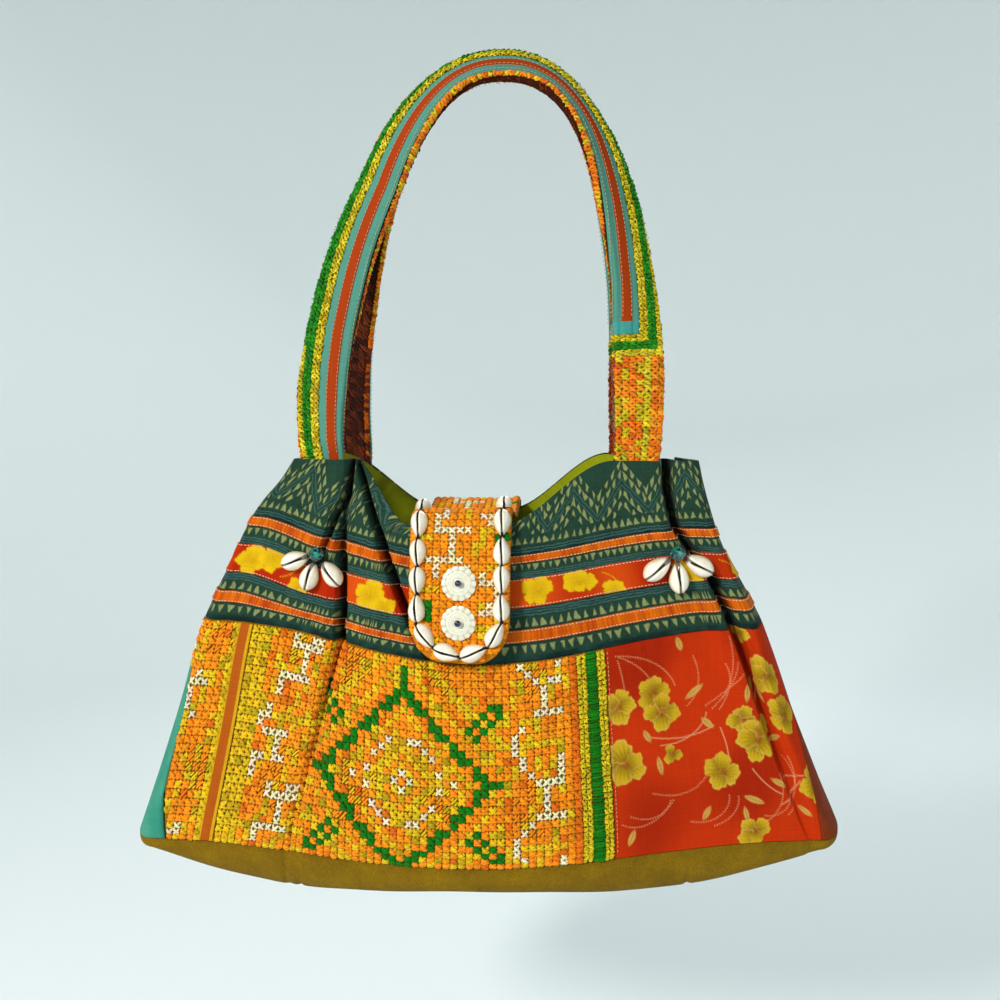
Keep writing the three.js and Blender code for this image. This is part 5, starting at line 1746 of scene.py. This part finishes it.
def addBead(name, c, material):
    low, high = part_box(name)
    middle = (np.array(low) + np.array(high)) / 2 / mm
    radius = c["radius"]
    tilt, angle = np.meshgrid(np.linspace(0, np.pi, c["rings"]), np.linspace(0, 2 * np.pi, c["sides"] + 1),
                              indexing="ij")
    ring = radius * np.maximum(np.sin(tilt), beadSet["hole"])
    spin = np.stack([ring * np.cos(angle), ring * np.sin(angle), radius * np.cos(tilt) * c["squash"]], -1)
    spin[0, :, 2] -= beadSet["holeDepth"] * radius
    spin[-1, :, 2] += beadSet["holeDepth"] * radius
    part = gridPart(middle + spin[..., list(c["axes"])], np.stack([angle * radius, tilt * radius], -1))
    addPiece(f"{name}_glass", part, material, [name], smooth=c["smooth"])


shellNames = addShells(cowrieSet, shellMaterial())
blackThread = yarnMaterial("blackThread", plies=3.0, lay=2.6, roughness=0.7, sheen=0.1)
addShellThreads(cowrieSet, shellNames, blackThread)
carvedDisc = carvedDiscMaterial()
tealGlass = glassMaterial("tealGlass", "1c9c8a", "011a1e")
blueGlass = glassMaterial("blueGlass", "1a2a6a", "0a0f2c")
for which in ("upper", "lower"):
    addDisc(discSet, f"shell_disc_{which}", carvedDisc)
    addBead(f"disc_bead_{which}", beadSet["disc"], blueGlass)
for which in ("left", "right"):
    addBead(f"cluster_{which}_bead", beadSet["cluster"], tealGlass)
print("shells, discs and beads made")

# Studio: pale floor and round wall, soft lamps
studioSet = {
    "floor": -0.8, "radius": 2.3, "cove": 0.7, "top": 1.5, "wall": "eff6f6", "air": (0.86, 0.93, 1.0, 1),
    "airStrength": 0.3,
    "lamps": {  # place, aim, size, power, colour
        "keyLamp": ((-0.9, -1.3, 0.55), (0, 0, -0.3), 0.3, 28, (1.0, 0.97, 0.92)),
        "fillLamp": ((1.2, -1.2, 0.1), (0, 0, -0.25), 1.2, 3.5, (0.95, 0.98, 1.0)),
        "backLamp": ((0.3, 1.5, 0.8), (0, 0, -0.25), 1.2, 14, (0.97, 0.99, 1.0)),
    },
}


def addStudio(c):
    inner, floor = c["radius"] - c["cove"], c["floor"]
    bend = [(inner + c["cove"] * math.sin(a), floor + c["cove"] * (1 - math.cos(a)))
            for a in np.linspace(0, np.pi / 2, 12)]
    profile = [(0.001, floor), (0.6, floor), (1.2, floor), *bend, (c["radius"], 0.6), (c["radius"], c["top"])]
    angle = np.linspace(0, 2 * np.pi, 73)
    grid = np.array([[(r * math.cos(a), r * math.sin(a), z) for a in angle] for r, z in profile])
    material, tree, shader = newMaterial("paleStudio", roughness=0.9, specular=0.1)
    cloud = noise(vectorOf(*clothPlace(tree)), 0.002, 2.0)
    feed(shader.inputs["Base Color"], mixColour(cloud, dye(c["wall"]), dye(c["wall"]) * 0.96))
    mesh = bpy.data.meshes.new("studio")
    mesh.from_pydata(grid.reshape(-1, 3).tolist(), [], gridQuads(*grid.shape[:2]).tolist())
    mesh.polygons.foreach_set("use_smooth", np.full(len(mesh.polygons), True))
    mesh.materials.append(material)
    studio = bpy.data.objects.new("studio", mesh)
    bpy.context.scene.collection.objects.link(studio)


def addLamp(name, place, aim, size, power, colour):
    data = bpy.data.lights.new(name, "AREA")
    data.shape = "DISK"
    data.size = size
    data.energy = power
    data.color = colour
    aimed(bpy.data.objects.new(name, data), Vector(place), Vector(aim))


def lightStudio(c):
    for name, lamp in c["lamps"].items():
        addLamp(name, *lamp)
    world = bpy.data.worlds.new("studioAir")
    world.use_nodes = True
    air = world.node_tree.nodes["Background"]
    air.inputs[0].default_value = c["air"]
    air.inputs[1].default_value = c["airStrength"]
    bpy.context.scene.world = world
    view = bpy.context.scene.view_settings
    view.view_transform = "Standard"
    view.look = "None"


addStudio(studioSet)
lightStudio(studioSet)
print("studio lit")
